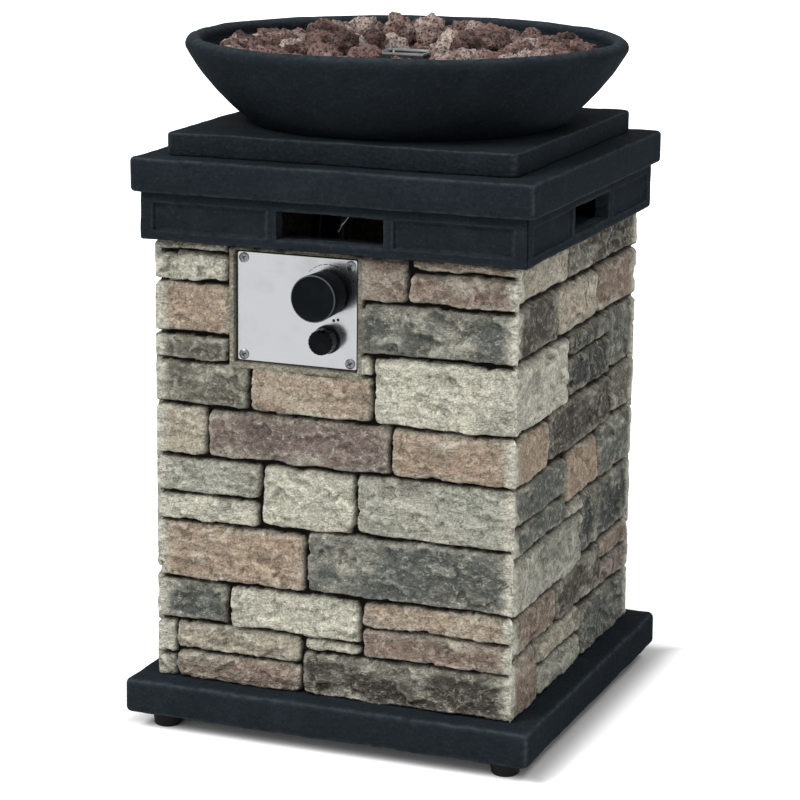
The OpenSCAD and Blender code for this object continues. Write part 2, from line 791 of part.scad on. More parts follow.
// Pan-head screw, its head against the plate's front
module screw(head_r, shank_r, shank_l) {
    translate([0, -plate_t - 2.2, 0]) rotate([-90, 0, 0]) rotate_extrude()
        polygon([[0, 0], [head_r * 0.6, 0], [head_r, 1.4], [head_r, 2.2], [shank_r, 2.2],
                 [shank_r, 2.2 + shank_l],
                 [0, 2.2 + shank_l]]);
}

module plate_screws() {
    color(steel) plate_places() screw(5, 2, plate_t);
}

module valve_screws() {
    color(steel) valve_screw_places() screw(3.4, 2, plate_t);
}

module gas_valve() {
    color(brass) difference() {
        union() {
            translate([control_x - 17, -bed, knob_axis_z - 17]) cube([34, 4, 34]);
            translate([control_x, -bed, knob_axis_z]) rod_y(valve_r, valve_l);
            translate([control_x, port_y, knob_axis_z]) cylinder(r = 7, h = outlet_top - knob_axis_z);
            translate([control_x - valve_r - 2, port_y, knob_axis_z]) rotate([0, 90, 0])
                cylinder(r = 10, h = valve_r);
            translate([control_x + valve_port_shift, valve_back - 12, knob_axis_z]) rod_y(6, 20);
            translate([control_x + 9, valve_back - 6, knob_axis_z]) rotate([0, 90, 0])
                cylinder(r = 3.5, h = valve_port_shift - 9);
        }
        translate([control_x, -bed - 1, knob_axis_z]) rod_y(stem_r + run, bore_end + bed + 1);
        translate([control_x, port_y, outlet_top - 12]) cylinder(r = pipe_r - 1, h = 13);
    }
}

// Elbow that turns the gas inlet down, so that the hose comes up from the bottle
module inlet_fitting() {
    root = control_x - valve_r - 2;
    thread_z = knob_axis_z - elbow_r;
    color(brass) difference() {
        union() {
            translate([root, port_y, knob_axis_z]) rotate([0, -90, 0]) {
                cylinder(r = 11, h = inlet_hex_l, $fn = 6);
                cylinder(r = elbow_r - 3.5, h = root - elbow_x);
            }
            translate([elbow_x, port_y, thread_z]) cylinder(r = elbow_r, h = 2 * elbow_r);
            translate([elbow_x, port_y, thread_z - inlet_l]) cylinder(r = inlet_r, h = inlet_l + 1);
        }
        translate([elbow_x, port_y, thread_z - inlet_l - 1]) cylinder(r = 4.5, h = inlet_l + elbow_r + 5);
        translate([root - 2, port_y, knob_axis_z]) rotate([0, -90, 0])
            cylinder(r = 2.5, h = root - 2 - elbow_x);
    }
}

module push_pin() {
    color(brass) translate([control_x, stem_root + seat, knob_axis_z]) rod_y(stem_r, pin_l);
}

module valve_stem() {
    color(brass) translate([control_x, stem_tip, knob_axis_z]) rod_y(stem_r, stem_root - stem_tip);
}

module control_knob() {
    r = knob_d / 2;
    back = plate_y - knob_gap;
    color([0.08, 0.09, 0.1]) translate([control_x, back - knob_l, knob_axis_z]) difference() {
        rotate([-90, 0, 0]) rotate_extrude() difference() {
            polygon([[0, 0.6], [r - 2.2, 0], [r - 0.6, 0.6], [r, 2.2], [r - 0.8, knob_l], [0, knob_l]]);
            translate([8, 10]) square([r - 11, knob_l]);
        }
        translate([0, 8, 0]) rod_y(stem_r, knob_l);
    }
}

module igniter_body() {
    color([0.1, 0.1, 0.11]) translate([control_x, 0, igniter_axis_z]) difference() {
        union() {
            translate([0, plate_y - 3, 0]) rod_y(button_d / 2 + 1.5, 3);
            translate([0, plate_y - 3, 0]) rod_y(barrel_r, barrel_l + plate_t + 3);
        }
        translate([0, plate_y - 4, 0]) rod_y(battery_r + 1.5, barrel_l - 2);
    }
}

module igniter_nut() {
    color(steel) translate([control_x, -bed, igniter_axis_z]) difference() {
        rotate([-90, 0, 0]) cylinder(r = igniter_hole_r - 0.5, h = 6, $fn = 6);
        translate([0, -1, 0]) rod_y(barrel_r + run, 8);
    }
}

// The button's skirt runs on the neck and its stem in the barrel
module igniter_button() {
    back = plate_y - 3 - button_travel - seat;
    r = button_d / 2;
    color([0.05, 0.05, 0.06]) translate([control_x, back - button_l, igniter_axis_z]) {
        rotate([-90, 0, 0]) rotate_extrude()
            polygon([[0, 0], [r - 4, 0.4], [r - 1.2, 2], [r, 5], [r, button_l], [0, button_l]]);
        rod_y(battery_r + 1.5 - run, button_l + button_travel + seat + 4);
    }
}

battery_y = plate_y - 3 + 2 * button_travel + seat + 4.5;

module battery() {
    color([0.7, 0.7, 0.72]) translate([control_x, battery_y, igniter_axis_z]) {
        rod_y(battery_r + 1.2, battery_l - 1);
        rod_y(2, battery_l);
    }
}

module battery_spring() {
    y0 = battery_y + battery_l + seat;
    y1 = plate_y - 3 + barrel_l - 3.3;
    turns = 3;
    color(steel) translate([control_x, 0, igniter_axis_z])
        sweep([for (i = [0:turns * 8])
            let (a = i * 45, f = i / (turns * 8))
                [4 * cos(a), y0 + 0.6 + (y1 - y0 - 1.2) * f, 4 * sin(a)]], 0.5, 6);
}

// Door fittings, drawn on the rear face as seen from behind

module hinge_places() {
    for (z = [hinge_low, hinge_high])
        translate([hinge_x, hinge_y, base_top + z]) children();
}

// Knuckles from one height to another, round the hinge's axis
module knuckle(low, high) {
    translate([0, 0, low]) difference() {
        cylinder(r = knuckle_r, h = high - low);
        translate([0, 0, -1]) cylinder(r = hinge_pin_r + run, h = high - low + 2);
    }
}

// Leaf plate beside the knuckles, to the right or the left of the axis
module leaf(side, low, high) {
    flat = col_w / 2 - hinge_y;
    difference() {
        union() {
            translate([side > 0 ? leaf_reach : -leaf_w - leaf_reach, flat, -hinge_h / 2])
                cube([leaf_w, leaf_t, hinge_h]);
            for (i = [0:len(low) - 1])
                translate([side > 0 ? 0 : -leaf_reach - 1, flat, low[i]])
                    cube([leaf_reach + 1, leaf_t, high[i] - low[i]]);
        }
        for (i = [0:len(low) - 1])
            translate([0, 0, low[i] - 1]) cylinder(r = hinge_pin_r + run, h = high[i] - low[i] + 2);
        for (z = [-1, 1]) translate([side * (leaf_reach + leaf_w / 2 + 1), flat - 1, z * hinge_h / 3])
            rod_y(2.2, leaf_t + 2);
    }
}

fixed_low = [-hinge_h / 2, hinge_h / 6 + 0.2];
fixed_high = [-hinge_h / 6 - 0.2, hinge_h / 2];

module hinge_leaves() {
    color(steel) hinge_places() {
        leaf(1, fixed_low, fixed_high);
        for (i = [0, 1]) knuckle(fixed_low[i], fixed_high[i]);
    }
}

module door_leaves() {
    color(steel) hinge_places() {
        leaf(-1, [-hinge_h / 6 + 0.2], [hinge_h / 6 - 0.2]);
        knuckle(-hinge_h / 6 + 0.2, hinge_h / 6 - 0.2);
    }
}

module hinge_pins() {
    color(steel) hinge_places() translate([0, 0, -hinge_h / 2 - 1]) {
        cylinder(r = hinge_pin_r, h = hinge_h + 2);
        translate([0, 0, hinge_h + 1 + run]) cylinder(r = knuckle_r - 0.5, h = 2);
    }
}

// Countersunk screws of the leaves on one side of the hinge
module leaf_screws(side) {
    color(steel) hinge_places() for (z = [-1, 1])
        translate([side * (leaf_reach + leaf_w / 2 + 1), col_w / 2 - hinge_y, z * hinge_h / 3]) {
            rod_y(2.1, leaf_t);
            translate([0, leaf_t, 0]) rod_y(4, 1.2);
        }
}

module hinge_screws() {
    leaf_screws(1);
}

module door_screws() {
    leaf_screws(-1);
}

module door_pull() {
    r = pull_d / 2;
    stem = 10;
    color(cast_black) translate([pull_inset - door_edge, col_w / 2, base_top + pull_z]) rotate([-90, 0, 0])
        rotate_extrude()
            polygon([[0, 0], [7, 0], [5, 4], [5, stem], [r - 2, stem + 2], [r, stem + 5], [r - 2, stem + 9],
                     [0, stem + 10]]);
}

catch_z = col_top - lip_h - 30;

module catch_strike() {
    color(steel) translate([-door_edge + 2, inner - 1.5, catch_z - 18]) cube([14, 1.5, 36]);
}

module catch_magnet() {
    color([0.2, 0.2, 0.2]) translate([mitre_gap - inner, inner - 1.5 - seat - 20, catch_z - 20])
        cube([inner - door_edge + 15, 20, 40]);
}

// Lava rocks

rock_places = [
    for (k = [0:len(rock_rings) - 1]) for (i = [0:rock_rings[k][1] - 1])
        let (
            shift = rands(-1, 1, 3, 900 + 40 * k + i),
            a = 360 * (i + 0.5 * ((k + 1) % 2) + 0.12 * shift[0]) / rock_rings[k][1],
            r = rock_rings[k][0] + 2.5 * shift[1]
        )
            [r * cos(a), r * sin(a), pan_top + rock_rings[k][2] + 2 * shift[2], rock_rings[k][3], k]
];

// Level direction from the bowl's axis to a point
function flat_unit(p) = [p[0], p[1], 0] / norm([p[0], p[1]]);

// Distance from a point along a direction to the bowl's inner wall, or a limit if that is nearer
function wall_limit(p, u, out, limit) =
    let (
        slope = wall_top_r - ledge_r,
        rise = wall_top_z - ledge_z,
        n = (out * rise - [0, 0, slope]) / norm([rise, slope]),
        room = (out * ledge_r + [0, 0, pan_z] - p) * n - seat
    )
        u * n > 0 ? min(limit, room / (u * n)) : limit;

// Farthest a rock reaches from its centre along a direction, kept off its neighbours, bowl, burner and guard
function rock_reach(c, u, near, r) =
    let (
        p = [c[0], c[1], c[2]],
        out = flat_unit(p),
        foot = (c[4] == 1 ? burner_top : pan_top) + seat,
        first = wall_limit(p, u, out, r),
        side = [0, c[1] > 0 ? 1 : -1, 0],
        guard_reach = (guard_w * abs(out[0]) + guard_d * abs(out[1])) / 2 + seat,
        limits = concat(
            [r, wall_limit(p, u, flat_unit(p + u * first), r)],
            u[2] < 0 ? [(foot - c[2]) / u[2]] : [],
            c[4] == 0 && u * out < 0 ? [(p * out - guard_reach) / (-(u * out))] : [],
            c[4] == 0 && u * side < 0 ? [(p * side - burner_tube_r - seat) / (-(u * side))] : [],
            [for (q = near) let (n = q - p, d = norm(n), f = u * n / d) if (f > 0) (d - rock_gap) / 2 / f]
        )
    )
        min(limits);

function rock_vertex(c, lat, lon, near, r) =
    let (u = [cos(lat) * cos(lon), cos(lat) * sin(lon), sin(lat)])
        [c[0], c[1], c[2]] + u * rock_reach(c, u, near, r);

module rock(i) {
    c = rock_places[i];
    meridians = 7;
    near = [for (j = [0:len(rock_places) - 1]) let (q = rock_places[j], v = [q[0], q[1], q[2]])
        if (j != i && norm(v - [c[0], c[1], c[2]]) < 2.4 * rock_d) v];
    noise = rands(0.86, 1.22, 3 * meridians + 2, 2000 + i);
    size = rock_d / 2 * c[3];
    turn = rands(0, 360, 1, 3000 + i)[0];
    rings = [for (k = [0:2]) [for (j = [0:meridians - 1])
        rock_vertex(c, [-55, 4, 46][k], turn + 360 * (j + 0.4 * (k % 2)) / meridians, near,
                    k == 0 ? rock_d : size * noise[k * meridians + j])]];
    tip = rock_vertex(c, 90, 0, near, size * noise[3 * meridians] * 0.95);
    loft(rings, tip);
}

module lava_rocks() {
    color(lava) for (i = [0:len(rock_places) - 1]) rock(i);
}

base_plinth();
feet();
front_panel();
right_panel();
left_panel();
left_jamb();
right_jamb();
access_door();
hinge_leaves();
door_leaves();
hinge_pins();
hinge_screws();
door_screws();
door_pull();
catch_magnet();
catch_strike();
top_cap();
bowl_plinth();
fire_bowl();
burner_pan();
burner_ring();
mixer_tube();
lock_nut();
gas_jet();
feed_pipe();
feed_nuts();
heat_shield();
pilot_guard();
electrode();
ignition_lead();
thermocouple();
thermocouple_lead();
control_plate();
plate_screws();
gas_valve();
valve_screws();
inlet_fitting();
push_pin();
valve_stem();
control_knob();
igniter_body();
igniter_nut();
igniter_button();
battery();
battery_spring();
lava_rocks();
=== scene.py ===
"""Looks of a propane fire column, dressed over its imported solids: stone relief, castings, rock, controls."""

import math

import bmesh
import bpy
import numpy as np
from bpy.props import FloatProperty, FloatVectorProperty, IntProperty, PointerProperty
from mathutils import Matrix, Vector, noise
from mathutils.bvhtree import BVHTree
from mathutils.geometry import tessellate_polygon


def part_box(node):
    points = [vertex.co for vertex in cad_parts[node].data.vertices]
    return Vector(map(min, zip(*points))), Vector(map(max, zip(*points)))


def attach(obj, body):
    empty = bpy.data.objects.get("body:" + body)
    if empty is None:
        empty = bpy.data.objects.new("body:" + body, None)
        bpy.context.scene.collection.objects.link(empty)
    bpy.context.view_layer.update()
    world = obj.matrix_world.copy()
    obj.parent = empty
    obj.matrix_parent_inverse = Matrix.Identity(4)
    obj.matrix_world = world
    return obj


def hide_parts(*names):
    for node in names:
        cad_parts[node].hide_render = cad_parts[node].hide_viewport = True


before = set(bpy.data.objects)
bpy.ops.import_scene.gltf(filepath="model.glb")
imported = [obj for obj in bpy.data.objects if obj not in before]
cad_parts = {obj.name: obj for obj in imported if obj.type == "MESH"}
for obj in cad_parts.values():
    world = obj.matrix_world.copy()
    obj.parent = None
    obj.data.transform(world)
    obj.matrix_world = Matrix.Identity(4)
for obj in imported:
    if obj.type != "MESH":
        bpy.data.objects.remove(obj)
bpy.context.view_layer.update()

bl_info = {
    "name": "Propane fire column",
    "version": (1, 0, 0),
    "blender": (4, 5, 0),
    "location": "View3D > Sidebar > Fire column",
    "description": "Dresses the fire column's solids with stone relief, castings, lava rock and controls",
    "category": "Object",
}

MM = 0.001

# Seed of the vector noise, which would differ from run to run without one
WAVE_SEED = 5

# Lips of the base and the cap that hold the panels from inside, in millimetres from the middle
LIP_IN = 158.7
LIP_OUT = 163.7

# Steps from a cell of a grid to its neighbours, in the order of the cell's sides
SIDE_STEPS = ((-1, 0), (0, 1), (1, 0), (0, -1))

# Face that the stone tables are drawn for, in millimetres
TABLE_W = 380
TABLE_H = 448

# Stones of the front: left, right, bottom and top from the lower left corner, and tint
FRONT_STONES = (
    (0, 20, 0, 22, "slate"), (0, 20, 24, 58, "pale"), (22, 156, 0, 28, "brown"), (22, 156, 31, 58, "beige"),
    (159, 380, 0, 44, "umber"), (160, 219, 47, 58, "pale"), (0, 77, 62, 102, "slate"),
    (81, 219, 60, 102, "pale"), (223, 380, 47, 76, "brown"), (223, 380, 78, 103, "tan"),
    (0, 160, 106, 162, "tan"),
    (164, 380, 107, 168, "slate"), (0, 112, 165, 191, "pale"), (0, 112, 194, 229, "lichen"),
    (116, 213, 169, 229, "pale"), (217, 380, 171, 230, "lichen"), (0, 54, 233, 282, "beige"),
    (57, 249, 233, 281, "mauve"), (252, 380, 233, 281, "tan"), (0, 100, 285, 327, "olive"),
    (104, 229, 284, 327, "tan"), (233, 380, 284, 348, "pale"), (0, 79, 330, 353, "olive"),
    (0, 80, 357, 406, "tan"), (218, 380, 352, 400, "slate"), (0, 78, 409, 435, "pale"),
    # The brown stone at the top right, just under the frieze, is darker partly as painted shadow of the frieze
    (217, 264, 403, 447, "brown"), (268, 380, 404, 434, "brown"), (0, 76, 438, 448, "pale"),
    (268, 380, 437, 448, "tan"), (217, 230, 330, 349, "pale"),
)
# Thin stones over the control plate
PLATE_STONES = ((84, 132, 443, 448, "pale"), (135, 214, 443, 448, "pale"))
# Stones that fill the plate's place on the rear
REAR_STONES = ((84, 214, 331, 378, "beige"), (84, 150, 381, 447, "slate"), (154, 213, 381, 447, "tan"))
# Stones of the sides, from the front edge of the right face and the rear edge of the left
# Tints of the side stones hold some of the right face's shade: the stones towards its rear edge are darker,
# partly their own colours, partly painted shade
SIDE_STONES = (
    (0, 78, 0, 58, "brown"), (81, 217, 0, 30, "lichen"), (81, 217, 33, 59, "beige"),
    (221, 380, 0, 54, "slate"), (0, 136, 62, 101, "brown"), (140, 281, 62, 107, "umber"),
    (285, 380, 58, 85, "mauve"),
    (285, 380, 88, 110, "brown"), (0, 213, 105, 160, "lichen"), (217, 380, 114, 177, "dark"),
    (0, 161, 163, 190, "slate"), (0, 161, 193, 229, "slate"), (165, 263, 180, 231, "tan"),
    (267, 380, 181, 237, "slate"), (0, 101, 233, 280, "tan"), (105, 304, 236, 284, "umber"),
    (308, 380, 241, 288, "olive"), (0, 158, 284, 352, "cream"), (163, 297, 289, 327, "dark"),
    (163, 297, 331, 354, "dark"), (301, 380, 292, 355, "slate"), (0, 120, 357, 406, "umber"),
    (124, 245, 358, 406, "beige"), (249, 380, 359, 406, "brown"), (0, 149, 412, 448, "beige"),
    (155, 380, 411, 448, "umber"), (164, 214, 163, 177, "lichen"),
)


def linear(channel):
    """A channel of a screen colour, 0 to 255, as a linear value."""
    share = channel / 255
    return share / 12.92 if share <= 0.04045 else ((share + 0.055) / 1.055) ** 2.4


def colour(name, description, red, green, blue):
    """A colour property whose default is given as a screen shows it."""
    default = [linear(channel) for channel in (red, green, blue)]
    return FloatVectorProperty(
        name=name, description=description, subtype="COLOR", size=3, min=0, max=1, default=default
    )


def length(name, description, millimetres):
    """A length property whose default is given in millimetres."""
    return FloatProperty(
        name=name, description=description, unit="LENGTH", precision=4, default=millimetres * MM
    )


def bearing(name, description, degrees):
    """An angle property whose default is given in degrees."""
    return FloatProperty(name=name, description=description, subtype="ANGLE", default=math.radians(degrees))


def power(name, description, default):
    """A light's strength as a property."""
    return FloatProperty(name=name, description=description, min=0, default=default)


class StoneSettings(bpy.types.PropertyGroup):
    """Sizes and tints of the cast stone faces."""

    half: length("Half width", "Half of the column's width over the stones", 190)
    relief: length("Relief", "Height of the stones over their bed", 10)
    wall: length("Wall", "Thickness of the wall behind the bed", 16)
    step: length("Grid step", "Spacing of the relief's points", 1.34)
    tight: length("Tightness", "Growth of the stones that narrows the joints", 0.5)
    rounding: length("Rounding", "Rounding of the stones' corners", 2.4)
    cleft: length("Cleft", "Height of the lumps and facets on a stone's face", 1.6)
    arris: length("Arris", "Rounding of the column's corners", 5)
    pale: colour("Pale", "Pale weathered stone", 190, 187, 171)
    cream: colour("Cream", "Cream stone", 196, 194, 180)
    beige: colour("Beige", "Beige stone", 170, 162, 145)
    tan: colour("Tan", "Tan stone with a pink cast", 168, 149, 130)
    brown: colour("Brown", "Brown stone", 134, 117, 105)
    mauve: colour("Mauve", "Mauve-brown stone", 128, 114, 107)
    umber: colour("Umber", "Dark brown-grey stone", 76, 71, 66)
    olive: colour("Olive", "Olive-grey stone", 108, 107, 96)
    lichen: colour("Lichen", "Grey-green stone", 168, 169, 156)
    slate: colour("Slate", "Grey slate", 96, 99, 94)
    dark: colour("Dark slate", "Blackish slate", 66, 69, 67)
    wash: colour("Wash", "Grey wash along the stones' edges and ledges", 188, 185, 170)
    # Darker slope along the top of a stone: painted shade
    ledge: colour("Ledge", "Stained slope along the top of a stone", 104, 100, 88)
    border: colour("Border", "Smooth cast border round the control plate", 150, 146, 130)
    # Also the colour of the painted shadow under the stones and of the painted shade in their cracks
    joint: colour("Joint", "Shaded mortar in the joints", 24, 22, 19)


class CastSettings(bpy.types.PropertyGroup):
    """Finish of the black castings."""

    black: colour("Black", "Dark blue-grey coating", 36, 42, 47)
    # Also the colour of painted highlight on the edges, on the bowl rim's top and in light flecks
    wear_and_highlight: colour("Worn", "Coating where it is rubbed or dusty", 78, 86, 92)
    wave: length("Wave", "Unevenness of the cast faces", 0.8)
    facets: IntProperty(name="Bowl facets", description="Points round the bowl", default=160, min=48, max=400)


class RockSettings(bpy.types.PropertyGroup):
    """Shape and tints of the lava rock."""

    red: colour("Red", "Red-brown lava", 127, 102, 96)
    ash: colour("Ash", "Pale ash on the high spots", 192, 177, 168)
    # Dark of the pores, which is painted shade, and of dark patches
    deep: colour("Deep", "Dark pores", 40, 33, 32)
    pit: length("Pore depth", "Depth of the pores", 2.2)
    pore: length("Pore spacing", "Distance between pores", 6.5)
    stray: length("Stray", "Most that a rock strays from its place in the heap", 4.5)


class MetalSettings(bpy.types.PropertyGroup):
    """Tints of the metal and plastic fittings."""

    plate: colour("Control plate", "Brushed steel of the control plate", 189, 191, 193)
    steel: colour("Steel", "Zinc-plated steel", 196, 198, 200)
    screw: colour("Screws", "Dulled steel of the small screws", 128, 130, 133)
    heated: colour("Heated steel", "Steel that has been hot", 150, 132, 112)
    soot: colour("Soot", "Sooty steel of the pilot guard", 92, 96, 98)
    brass: colour("Brass", "Machined brass", 196, 158, 86)
    pipe: colour("Pipe", "Drawn aluminium", 204, 206, 208)
    plastic: colour("Plastic", "Black moulded plastic", 14, 16, 18)
    satin: colour("Satin", "Satin black of the knob", 22, 26, 29)
    # The knob's lighter ring is a painted highlight on its edge
    edge: colour("Knob edge", "Polished edge of the knob", 74, 78, 82)
    rubber: colour("Rubber", "Black rubber", 26, 26, 27)
    ceramic: colour("Ceramic", "Glazed ceramic", 232, 228, 218)
    # Near-black partly as painted shade of the vent's dark inside
    sleeve: colour("Sleeve", "Silicone sleeve of the ignition lead", 22, 21, 21)
    ink: colour("Ink", "Printed marks on the plate", 30, 31, 33)


class StageSettings(bpy.types.PropertyGroup):
    """Camera, light and floor."""

    azimuth: bearing("Azimuth", "Camera's turn to the right", 21.28)
    elevation: bearing("Elevation", "Camera's rise", 13.19)
    roll: bearing("Roll", "Camera's roll", 0.654)
    distance: length("Distance", "From the camera to its aim", 2906.3)
    aim_height: length("Aim height", "Height of the camera's aim", 316.6)
    aim_side: length("Aim side", "Sideways place of the camera's aim", -3.06)
    lens: FloatProperty(name="Lens", description="Focal length", default=126.96, subtype="DISTANCE_CAMERA")
    floor: colour("Floor", "Pale studio floor", 250, 250, 250)
    glow: power("Floor glow", "Light of the floor's own where a ray shows it as a backdrop", 0.6)
    ambient: power("Ambient", "Strength of the all-round light", 0.34)
    key: power("Key", "Strength of the main lamp", 1.5)
    soft: power("Soft", "Strength of the wide lamp above", 0.6)
    fill: power("Fill", "Strength of the fill lamp", 0.5)


class FireColumnSettings(bpy.types.PropertyGroup):
    """All settings of the fire column."""

    stone: PointerProperty(type=StoneSettings, name="Stone")
    cast: PointerProperty(type=CastSettings, name="Castings")
    rock: PointerProperty(type=RockSettings, name="Rock")
    metal: PointerProperty(type=MetalSettings, name="Fittings")
    stage: PointerProperty(type=StageSettings, name="Stage")


class Value:
    """A socket in a node tree, with Python's arithmetic."""

    def __init__(self, tree, socket):
        self.tree = tree
        self.socket = socket

    def of(self, name):
        """Another output of the same node."""
        return Value(self.tree, self.socket.node.outputs[name])

    def math(self, operation, *values):
        """A Math node on these values."""
        return self.tree.node("ShaderNodeMath", {"operation": operation}, *values)

    def most(self, other):
        """The larger of two values."""
        return self.math("MAXIMUM", self, other)

    def __add__(self, other):
        return self.math("ADD", self, other)

    def __radd__(self, other):
        return self.math("ADD", other, self)

    def __sub__(self, other):
        return self.math("SUBTRACT", self, other)

    def __rsub__(self, other):
        return self.math("SUBTRACT", other, self)

    def __mul__(self, other):
        return self.math("MULTIPLY", self, other)

    def __rmul__(self, other):
        return self.math("MULTIPLY", other, self)

    def __abs__(self):
        return self.math("ABSOLUTE", self)


class NodeTree:
    """Nodes of a material or a world."""

    def __init__(self, tree):
        self.tree = tree

    def feed(self, socket, value):
        """Links a socket to a value, or sets it."""
        if isinstance(value, Value):
            self.tree.links.new(value.socket, socket)
        elif socket.type == "RGBA" and len(value) == 3:
            socket.default_value = (*value, 1)
        else:
            socket.default_value = value

    def node(self, kind, settings=None, *values, **named):
        """A new node's first output, with its settings made before its sockets are fed."""
        node = self.tree.nodes.new(kind)
        for key, setting in (settings or {}).items():
            setattr(node, key, setting)
        sockets = [socket for socket in node.inputs if socket.enabled]
        for socket, value in zip(sockets, values):
            self.feed(socket, value)
        for name, value in named.items():
            self.feed(node.inputs[name], value)
        outputs = [socket for socket in node.outputs if socket.enabled]
        return Value(self, outputs[0]) if outputs else node

    def band(self, value, low, high):
        """A soft step of a value between two levels."""
        smooth = {"interpolation_type": "SMOOTHSTEP"}
        return self.node("ShaderNodeMapRange", smooth, value, low, high, 0.0, 1.0)

    def place(self):
        """Where a point of the surface is, in metres."""
        return self.node("ShaderNodeTexCoord").of("Object")


class Finish(NodeTree):
    """A material built round one Principled shader."""

    def __init__(self, name, **constants):
        self.material = bpy.data.materials.new(name)
        self.material.use_nodes = True
        super().__init__(self.material.node_tree)
        self.shader = self.tree.nodes["Principled BSDF"]
        for key, value in constants.items():
            self.set(key.replace("_", " "), value)
        self.where = self.place()

    def set(self, name, value):
        """Sets or links one of the shader's sockets."""
        self.feed(self.shader.inputs[name], value)

    def scaled(self, scale, shift):
        """The surface's places, scaled and moved by the same shift on each axis."""
        return self.node("ShaderNodeMapping", None, Vector=self.where, Scale=scale, Location=(shift,) * 3)

    def cloud(self, size, detail=3, rough=0.55, stretch=(1, 1, 1), shift=0):
        """Cloud noise from 0 to 1, with lumps of this size in metres."""
        where = self.scaled([share / size for share in stretch], shift)
        return self.node("ShaderNodeTexNoise", None, Vector=where, Scale=1.0, Detail=detail, Roughness=rough)

    def crest(self, *cloud):
        """Sharp crest lines, 1 on the line, where cloud noise passes its middle."""
        return (1 - abs(self.cloud(*cloud) * 4 - 2)).most(0.0)

    def cells(self, size, shift=0):
        """Distance from the nearest of points spread this far apart."""
        return self.node("ShaderNodeTexVoronoi", None, Vector=self.scaled([1 / size] * 3, shift), Scale=1.0)

    def mix(self, share, first, second, blend="MIX"):
        """A mix of two colours."""
        return self.node("ShaderNodeMix", {"data_type": "RGBA", "blend_type": blend}, share, first, second)

    def attribute(self, name, output="Fac"):
        """A named attribute of the mesh."""
        return self.node("ShaderNodeAttribute", {"attribute_name": name}).of(output)

    def done(self, base, rough, height, depth, strength=1.0):
        """The material, with its colour, roughness and bumps of this depth fed to the shader."""
        self.set("Base Color", base)
        self.set("Roughness", rough)
        bump = self.node("ShaderNodeBump", None, Strength=strength, Distance=depth, Height=height)
        self.set("Normal", bump)
        return self.material


def dimmed(tint, share):
    """A tint brought down to a share of its light."""
    return [channel * share for channel in tint]


def stone_finish(settings):
    """Weathered cast stone: painted tint, paler high spots and darker hollows that are partly dry-brushed
    paint and partly painted highlight and painted shade, dark joints with painted shadow under the stones, and
    sandy grain.
    """
    finish = Finish("weathered_stone", Specular_IOR_Level=0.15)
    tint = finish.attribute("tint", "Color")
    ridge = finish.attribute("ridge")
    joint = finish.attribute("joint")
    crest = finish.crest(0.03, 4, 0.6, (0.8, 0.8, 1.5), 4.7)
    strand = finish.crest(0.011, 3, 0.6, (0.8, 0.8, 1.4), 7.9)
    grain = finish.cloud(0.0045, 2, 0.6, shift=1.3)
    speck = finish.cloud(0.002, 1, 0.5, shift=2.1)
    vein = finish.band(finish.crest(0.017, 4, 0.6, (0.8, 0.8, 1.3), 3.3), 0.86, 0.98)
    scratch = finish.band(finish.crest(0.021, 4, 0.6, (0.8, 0.8, 1.5), 8.6), 0.93, 0.99)
    # High spots paler and hollows darker: partly dry-brushed paint, partly painted highlight and painted shade
    low = finish.band(ridge + strand * 0.5, 0.3, -0.7)
    high = finish.band(ridge + crest * 0.5, 0.4, 1.5)
    base = finish.mix(high * 0.12, tint, settings.cream)
    base = finish.mix(vein * finish.band(grain, 0.42, 0.62) * 0.4, base, settings.cream)
    base = finish.mix(scratch * 0.3, base, settings.umber)
    tone = -0.2 + grain * 1.1 + speck * 1.5 + high * 0.3 - low * 0.2
    base = finish.mix(1.0, base, tone, "MULTIPLY")
    # Joints take their dark colour, and so do the painted shadow under the stones and the painted shade in
    # cracks
    base = finish.mix(joint, base, settings.joint)
    height = crest * 0.35 + vein * 0.06 - scratch * 0.1 + strand * 0.25 + grain * 0.4 + speck * 0.15
    return finish.done(base, 0.78 + grain * 0.22, height, 0.005)


def cast_finish(settings):
    """Black coating on a casting: uneven tone, paler edges that are partly wear and partly painted highlight,
    light flecks as painted highlight, painted shade in fine pores, and a slight sheen.
    """
    finish = Finish("black_casting", Specular_IOR_Level=0.004)
    drift = finish.cloud(0.05, 5, 0.65)
    grain = finish.cloud(0.009, 3, 0.6, (1, 1, 1.8), 3.1)
    pore = finish.cloud(0.003, 1, 0.5, shift=1.7)
    ridge = finish.attribute("ridge")
    base = finish.mix(finish.band(drift, 0.45, 0.8) * 0.12, settings.black, settings.wear_and_highlight)
    # Light flecks where the fine noise is high: painted highlight
    base = finish.mix(finish.band(pore * 0.6 + grain * 0.4, 0.52, 0.7) * 0.14, base, settings.wear_and_highlight)
    # Darker where the bumps are low: painted shade in the pores
    hollow = finish.band(pore * 0.5 + grain * 0.5, 0.5, 0.34)
    base = finish.mix(hollow * 0.3, base, dimmed(settings.black, 0.4))
    # Marked edges and the bowl rim's top are paler: partly wear, partly painted highlight
    base = finish.mix(ridge * finish.band(grain + drift * 0.4, 0.3, 1.0) * 0.8, base, settings.wear_and_highlight)
    return finish.done(base, 0.6 + grain * 0.3, grain * 0.6 + pore * 0.4, 0.0018)


